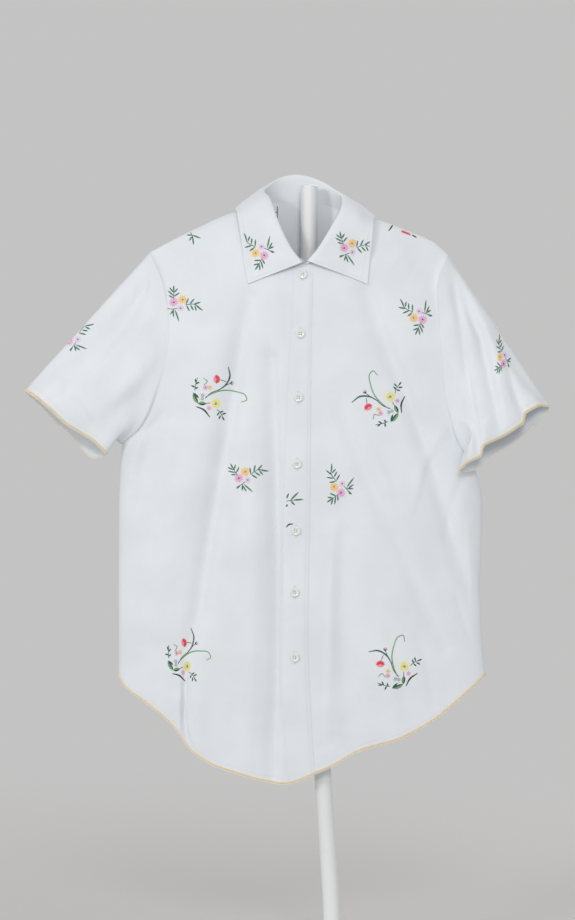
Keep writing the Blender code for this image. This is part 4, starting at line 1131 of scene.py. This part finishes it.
def large_spray():
    """A yellow daisy and a red flower among small ones, with long blades, a curl and dark leaves."""
    made = satin([(4.6, -11), (0, 0), (-2.4, 12.8), (0, 27.4), (6.4, 40.2), (11.9, 41.6), (14.2, 33.8)],
                 [0.9, 1.4, 1.5, 1.4, 1.2, 1.3, 0.8], "green")
    made += stem([(6.4, -11.9), (0, -3.7), (-3.7, 7.3)], "dark green", 1.0)
    made += satin([(-2.7, 5.5), (-9.1, 15.5), (-20.1, 21.9), (-32, 20.6)], [1.0, 1.9, 2.1, 0.9], "dark green")
    made += satin([(16.1, -23.7), (21, -14.6), (30.7, -7.7)], [1.0, 2.4, 1.0], "ink green")
    made += stem([(-11, 21.9), (-9.4, 18), (-7.3, 13.7)], "dark green")
    made += knots((-11, 24.9), 1.6, 6, "pink", 1.4)
    made += leaf((-11.2, 21.4), (-13.2, 25.2), 1.6) + leaf((-11, 21.4), (-8.9, 25.0), 1.6)
    made += stem([(-16.4, 9.4), (-15, 12.5), (-13.7, 15.5)], "dark green")
    for step in range(9):
        angle = math.pi * (0.06 + 0.11 * step)
        out = np.array([math.cos(angle), math.sin(angle)])
        middle = np.array([-17.3, 3.6])
        made.append(laid(middle + out * 0.8, middle + out * np.array([6.0, 5.8]), "red", 1.7, 0.5))
        made.append(laid(middle - out * [0.4, 0.2], middle - out * np.array([5.2, 3.4]), "rose", 1.0, 0.4))
    made += daisy((-7.3, -4.6), 3.6, 6, "orange", "rose", 0.1)
    made += daisy((-7.7, -10.4), 3.9, 7, "pink", "plum", 0.3)
    made += satin([(-11, -11.9), (-15.5, -7.7), (-19.7, -11.9)], [0.8, 1.2, 0.7], "green")
    made += daisy((2.2, -14.6), 2.8, 6, "blue", "yellow", 0.2)
    made += daisy((6.6, -15.4), 2.6, 6, "blue", "yellow", 0.6)
    made += knots((0, -17.6), 1.0, 4, "yellow", 1.0) + knots((6.4, -18.8), 1.0, 4, "yellow", 1.0)
    made += stem([(12.8, -5.5), (12.9, -9), (12.8, -12.8)], "dark green")
    made += daisy((13.7, 1.5), 7.2, 13, "yellow", "dark green", 0.1, 0.34)
    made += knots((13.7, 1.5), 0.9, 3, "orange", 1.0)
    made += daisy((19.2, -7.7), 3.5, 6, "pink", "rose", 0.5)
    made += stem([(21.5, 2.0), (24.7, 5.5), (35.6, 10)], "dark green")
    for base, tip in (((28.3, 8.2), (27, 13.7)), ((31, 8.2), (36.2, 10.6)), ((29.2, 6.4), (34.4, 3.8)),
                      ((25.4, 6.0), (24.2, 10.6)), ((25.4, 5.2), (29.4, 1.6))):
        made += leaf(base, tip, 1.9)
    made += leaf((13.1, -11), (11.9, -21.5), 4.6, "ink green", "green")
    made += leaf((0, -27.4), (11.9, -21.9), 4.8, "dark green", "green")
    made += leaf((5, -20), (-2, -27), 3.0, "dark green")
    made += stem([(-4.6, -24.7), (-12, -23), (-20.1, -20.1)], "dark green")
    for base, tip in (((-14.4, -22.2), (-20.1, -22.8)), ((-12.8, -22.8), (-15.5, -17.6)),
                      ((-9.1, -23.7), (-11.6, -28.8)), ((-7.1, -24.3), (-8.6, -19.6))):
        made += leaf(base, tip, 1.9)
    return made


def spot(px, py):
    """The (x, z) in millimetres of a place in the photo's frame, in pixels."""
    return np.array([(px - MIDDLE_PX) * PIXEL, (GROUND_PX - py) * PIXEL])


def placed(stitches, turn, at, chart_point, squeeze=1.0):
    """Stitches turned anticlockwise by degrees and moved so that chart_point comes to at.
    On cloth that turns away from the front they are narrower by the squeeze."""
    c, s = math.cos(math.radians(turn)), math.sin(math.radians(turn))
    rotate = np.array([[c, s], [-s, c]])
    start = np.array(chart_point, float) @ rotate
    return [((line @ rotate - start) * [squeeze, 1.0] + at, width, height, thread)
            for line, width, height, thread in stitches]


def embroider(name, surface, stitches, behind=False, lift=CLOTH / 2):
    """Lays stitches on a piece's outer face, seen from the front or from behind, as far as the piece goes."""
    net = face_net(surface, lift)
    way = -1.0 if behind else 1.0
    taper, rise = (0.5, 1.0, 1.0, 0.5), (0.15, 1.0, 1.0, 0.15)
    vertices, faces, kinds = [], [], []
    for line, width, height, thread in stitches:
        found = [net.ray_cast((x, -FAR * way, z), (0.0, way, 0.0)) for x, z in line]
        if any(hit[0] is None for hit in found):
            continue
        seat = np.array([hit[0] for hit in found])
        up = np.array([hit[1] for hit in found])
        up *= -way * np.sign(up[:, 1:2] + 1e-12)
        if np.abs(up[:, 1]).min() < LEAST_FACING or np.abs(np.diff(seat[:, 1])).max() > LONGEST_STEP:
            continue
        up = unit(up.mean(axis=0))
        side = unit(np.cross(seat[3] - seat[0], up))
        first = len(vertices)
        for point, share, high in zip(seat, taper, rise):
            vertices += [point - side * width / 2 * share + up * 0.04, point + up * (height * high + 0.04),
                         point + side * width / 2 * share + up * 0.04]
        for k in range(3):
            a = first + 3 * k
            faces += [(a, a + 1, a + 4, a + 3), (a + 1, a + 2, a + 5, a + 4)]
        kinds += [THREAD_NAMES.index(thread)] * 6
    mesh_object(name, np.array(vertices), faces, THREAD_FINISHES, kinds)


SMALL, LARGE = small_spray(), large_spray()
PAIR = (-1.35, 2.7)         # between the pink and the orange daisy
HEART = (13.7, 1.5)         # the yellow daisy
shoulder_leaves = stem([spot(190.5, 232.5), spot(192, 235.5), spot(193, 239)], "dark green")
for base, tip in (((192, 235.8), (187, 235.2)), ((192.2, 235.6), (201, 239.2)),
                  ((192.6, 236.6), (194, 245.8)), ((192.4, 237), (189.4, 241.4))):
    shoulder_leaves += leaf(spot(*base), spot(*tip), 2.0, "dark green", "leaf green")
shoulder_blade = [spot(393.8, 223.8), spot(391.2, 227.4), spot(388.4, 231.6)]
shoulder_flower = satin(shoulder_blade, [1.0, 2.0, 1.0], "ink green")
for k in range(7):
    upper_end, lower_end = spot(401.6 + 1.2 * k, 230.4 + 0.5 * k), spot(402.2 + 1.3 * k, 233.4 + 0.45 * k)
    shoulder_flower.append(laid(upper_end, lower_end, "red", 1.7, 0.5))
shoulder_flower += leaf(spot(411.6, 235.2), spot(416.4, 238.2), 2.2)
placket_sprig = stem([spot(286.2, 500.8), spot(291, 500), spot(295, 499.6)], "dark green")
for base, tip in (((286.6, 498), (288.6, 493)), ((290.4, 499.8), (298.4, 491.8)),
                  ((293, 499.8), (303.2, 499)), ((290.6, 500.6), (294.8, 504.6)),
                  ((286.2, 506.4), (287.4, 503.8))):
    placket_sprig += leaf(spot(*base), spot(*tip), 2.2, "dark green", "leaf green")
placket_blade = [spot(286.2, 526.2), spot(289, 523.8), spot(292.6, 523.4)]
placket_sprig += satin(placket_blade, [1.0, 2.0, 1.2], "ink green")
neck_mark = stem([spot(277.2, 204.6), spot(277.3, 211), spot(277.2, 218)], "dark green", 1.1)
neck_mark += leaf(spot(277, 210.8), spot(272.8, 210.8), 1.6)
SPRAYS = {
    "collar": placed(SMALL, 148, spot(260.1, 256.5), PAIR) + placed(SMALL, 15, spot(347.4, 248.0), PAIR),
    "front_left": (
        placed(SMALL, 0, spot(178.8, 302.0), PAIR) + placed(SMALL, 30, spot(242.4, 474.8), PAIR)
        + placed(LARGE, -86, spot(216.5, 403.9), HEART) + placed(LARGE, -74, spot(188, 665.1), HEART, 0.8)
        + shoulder_leaves),
    "front_right": (
        placed(SMALL, 154, spot(417.0, 320.0), PAIR) + placed(SMALL, 124, spot(337.0, 489.6), PAIR)
        + placed(LARGE, 31, spot(389.1, 397.4), HEART) + placed(LARGE, 0, spot(403.4, 664.8), HEART)
        + shoulder_flower),
    "sleeve_left": placed(SMALL, 50, spot(69.5, 341.2), (-7.0, 1.1)),
    "sleeve_right": placed(SMALL, 115, spot(499.8, 361.2), PAIR, 0.6),
    "placket": placket_sprig,
}
BACK_PLACES = [
    (SMALL, 24, (-176, 842)), (SMALL, 160, (88, 826)), (LARGE, -60, (-100, 742)), (LARGE, 35, (36, 716)),
    (SMALL, 118, (-188, 652)), (SMALL, -12, (130, 640)), (SMALL, 80, (-36, 596)), (LARGE, 8, (-150, 512)),
    (LARGE, -80, (96, 500)), (SMALL, 196, (-44, 428)), (SMALL, 40, (-206, 396)), (SMALL, -36, (128, 384)),
    (LARGE, 70, (-60, 318))]
back_sprays = []
for spray, turn, at in BACK_PLACES:
    back_sprays += placed(spray, turn, at, PAIR if spray is SMALL else HEART)
for surface, stitches in SPRAYS.items():
    lift = {"placket": PLACKET_CLOTH / 2, "collar": COLLAR_CLOTH / 2}.get(surface, CLOTH / 2)
    embroider(f"embroidery_{surface}", surface, stitches, lift=lift)
embroider("embroidery_back", "back", back_sprays, behind=True)
embroider("embroidery_neck", "back", neck_mark, lift=-CLOTH / 2)
for side, turn, at in (("left", 70, (-300, 790)), ("right", 20, (216, 770))):
    spray = placed(SMALL, turn, at, PAIR)
    embroider(f"embroidery_sleeve_{side}_behind", f"sleeve_{side}", spray, behind=True)

# Buttonholes
# Upright slits in the placket, one behind each button, worked in white thread with short
# stitches side by side along both edges and a bar across each end.
SLIT_LOW, SLIT_PITCH, SLIT_STITCHES = -7.5, 0.6, 26
SLIT_NEAR, SLIT_FAR = 0.35, 1.45
BAR_HALF, BAR_END = 1.5, 8.1
buttonholes = []
for height in BUTTON_HEIGHTS:
    at_x = placket_place(height)[0]
    for side in (-1, 1):
        for k in range(SLIT_STITCHES):
            level = height + SLIT_LOW + SLIT_PITCH * k
            near_end, far_end = (at_x + side * SLIT_NEAR, level), (at_x + side * SLIT_FAR, level)
            buttonholes.append(laid(near_end, far_end, "white", 0.7, 0.4))
    for level in (height - BAR_END, height + BAR_END):
        buttonholes.append(laid((at_x - BAR_HALF, level), (at_x + BAR_HALF, level), "white", 0.9, 0.5))
embroider("buttonholes", "placket", buttonholes, lift=PLACKET_CLOTH / 2)

# Stand
# A slightly bowed steel pole with a cross bar at shoulder height, in a socket on a round
# base. All of it is painted smooth satin white.
POLE_ROUTE = [(0, 0, 8.3), (-0.3, 0, 45), (-5, 1, 130), (-12, 2, 234), (-24, 4, 420), (-30, 4, 600),
              (-30, 4, 800), (-30, 4, 1000)]
POLE_WIDTH, BAR_WIDTH = 22.0, 15.0
DOME, START_FLATNESS = 2.0, 0.02        # height of a bar's far end, and the share of it at its start
BAR_LEFT, BAR_RIGHT = (-232, 2, 902), (146, 2, 896)


def white_paint():
    """Sprayed satin paint with a slight orange peel."""
    made, nodes, links, shader = plain_material("white stand paint", roughness=0.35, specular=0.45)
    shader.inputs["Coat Weight"].default_value = 0.2
    place = nodes.new("ShaderNodeTexCoord")
    orange_peel = noise(nodes, links, place.outputs["Object"], scale=420.0)
    bumped(nodes, links, orange_peel, shader, strength=0.08, distance=0.0003)
    wear = noise(nodes, links, place.outputs["Object"], scale=9.0, detail=5.0)
    stepped_mix(nodes, links, wear, linear(228, 230, 231), linear(236, 237, 237), shader)
    return made


def round_bar(route, width, sides, rings):
    """Points and faces of a round bar along a route, domed at its far end and flat at its start."""
    line = through(route)(np.linspace(0, 1, rings))
    ahead = unit(np.gradient(line, axis=0))
    right = unit(np.cross(ahead, [0.0, 1.0, 0.0]))
    other = np.cross(ahead, right)
    turn = np.arange(sides) * math.tau / sides
    step = np.linspace(0, math.pi / 2, 6)[1:-1]
    tip, tip_radii = np.sin(step)[:, None] * DOME, np.cos(step) * width / 2
    start = line[:1] - ahead[:1] * tip[::-1] * START_FLATNESS
    centres = np.concatenate([start, line, line[-1:] + ahead[-1:] * tip])
    radii = np.r_[tip_radii[::-1], np.full(rings, width / 2), tip_radii]
    right = np.pad(right, ((4, 4), (0, 0)), mode="edge")
    other = np.pad(other, ((4, 4), (0, 0)), mode="edge")
    loops = centres[:, None] + radii[:, None, None] * (
        np.cos(turn)[None, :, None] * right[:, None] + np.sin(turn)[None, :, None] * other[:, None])
    count = len(centres)
    index = np.arange(count * sides).reshape(count, sides)
    after = np.roll(index, -1, axis=1)
    faces = np.stack([index[:-1], after[:-1], after[1:], index[1:]], axis=-1).reshape(-1, 4).tolist()
    faces += [index[0][::-1].tolist(), index[-1].tolist()]
    return loops.reshape(-1, 3), faces


PAINT = white_paint()
bar_route = [BAR_LEFT, [(a + b) / 2 for a, b in zip(BAR_LEFT, BAR_RIGHT)], BAR_RIGHT]
pole = mesh_object("pole_and_cross_bar", *round_bar(POLE_ROUTE, POLE_WIDTH, sides=48, rings=90), [PAINT])
bar = mesh_object("cross_bar", *round_bar(bar_route, BAR_WIDTH, sides=36, rings=24), [PAINT])
outwards(pole)
outwards(bar)
join = pole.modifiers.new("join", "BOOLEAN")
join.operation, join.solver, join.object = "UNION", "EXACT", bar
joined = made_plain(pole)
bpy.data.objects.remove(bar)
joined.shade_smooth()
joined.set_sharp_from_angle(angle=math.radians(40))
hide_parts("stand_pole")

BASE_PROFILE = [(0, 0), (127.4, 0), (129.3, 0.7), (130, 2), (130, 5.2), (129.4, 7), (127.5, 8), (60, 8),
                (25.5, 8), (21.5, 8.6), (18.6, 10.2), (17.2, 13), (17, 16), (17, 24.5), (16.4, 25.7),
                (15, 26), (12.2, 26), (11.6, 25.4), (11.6, 8), (0, 8)]
base = mesh_object("base_disc", *turned(BASE_PROFILE, sides=120, place=lambda a, b, h: (a, b, h)), [PAINT])
outwards(base)
base.data.set_sharp_from_angle(angle=math.radians(35))
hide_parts("stand_base")

# Floor, light and camera
# A pale studio floor that runs out into an even pale surround, a soft lamp at the left, two
# weaker ones in front and behind, and a level camera in front of the shirt.
SURROUND = linear(196, 195, 195)


def studio_floor():
    """Pale matt paper round the base that runs out into the surround's own colour."""
    made, nodes, links, shader = plain_material("pale studio floor", roughness=0.9, specular=0.1)
    shader.inputs["Base Color"].default_value = linear(205, 204, 203)
    place = nodes.new("ShaderNodeTexCoord")
    distance = nodes.new("ShaderNodeVectorMath")
    distance.operation = "LENGTH"
    links.new(place.outputs["Object"], distance.inputs[0])
    share = nodes.new("ShaderNodeMapRange")
    share.inputs["From Min"].default_value = 0.35
    share.inputs["From Max"].default_value = 2.4
    share.interpolation_type = "SMOOTHSTEP"
    links.new(distance.outputs["Value"], share.inputs["Value"])
    glow = nodes.new("ShaderNodeEmission")
    glow.inputs["Color"].default_value = SURROUND
    mix = nodes.new("ShaderNodeMixShader")
    links.new(share.outputs["Result"], mix.inputs["Fac"])
    links.new(shader.outputs["BSDF"], mix.inputs[1])
    links.new(glow.outputs["Emission"], mix.inputs[2])
    links.new(mix.outputs["Shader"], nodes["Material Output"].inputs["Surface"])
    return made


floor_data = bpy.data.meshes.new("floor")
ring = [(60 * math.cos(t), 60 * math.sin(t), 0.0) for t in np.arange(64) * math.tau / 64]
floor_data.from_pydata(ring, [], [list(range(64))])
floor_data.materials.append(studio_floor())
floor = bpy.data.objects.new("floor", floor_data)
bpy.context.scene.collection.objects.link(floor)

world = bpy.data.worlds.new("surround")
world.use_nodes = True
world.node_tree.nodes["Background"].inputs["Color"].default_value = SURROUND
bpy.context.scene.world = world
bpy.context.scene.view_settings.view_transform = "Standard"


def soft_lamp(name, place, target, size, power):
    """A large square lamp that faces a point."""
    data = bpy.data.lights.new(name, "AREA")
    data.shape, data.size, data.energy = "SQUARE", size, power
    lamp = bpy.data.objects.new(name, data)
    bpy.context.scene.collection.objects.link(lamp)
    lamp.location = place
    ahead = np.array(target, float) - np.array(place, float)
    lamp.rotation_euler = (math.atan2(math.hypot(ahead[0], ahead[1]), -ahead[2]), 0,
                           math.atan2(ahead[1], ahead[0]) - math.pi / 2)


soft_lamp("lamp_front_left", (-3.9, -4.4, 2.2), (-0.05, 0, 0.65), size=1.1, power=74)
soft_lamp("lamp_front", (0.2, -3.4, 1.9), (-0.05, 0, 0.75), size=0.8, power=33)
soft_lamp("lamp_behind", (0.8, 2.6, 2.2), (-0.05, 0, 0.65), size=1.6, power=24)

camera_data = bpy.data.cameras.new("camera")
camera_data.sensor_width = 36.0
camera_data.lens = 115.0
camera = bpy.data.objects.new("camera", camera_data)
bpy.context.scene.collection.objects.link(camera)
camera.location = (-0.0579, -3.82, 0.6435)
camera.rotation_euler = (math.pi / 2, 0, 0)
bpy.context.scene.camera = camera
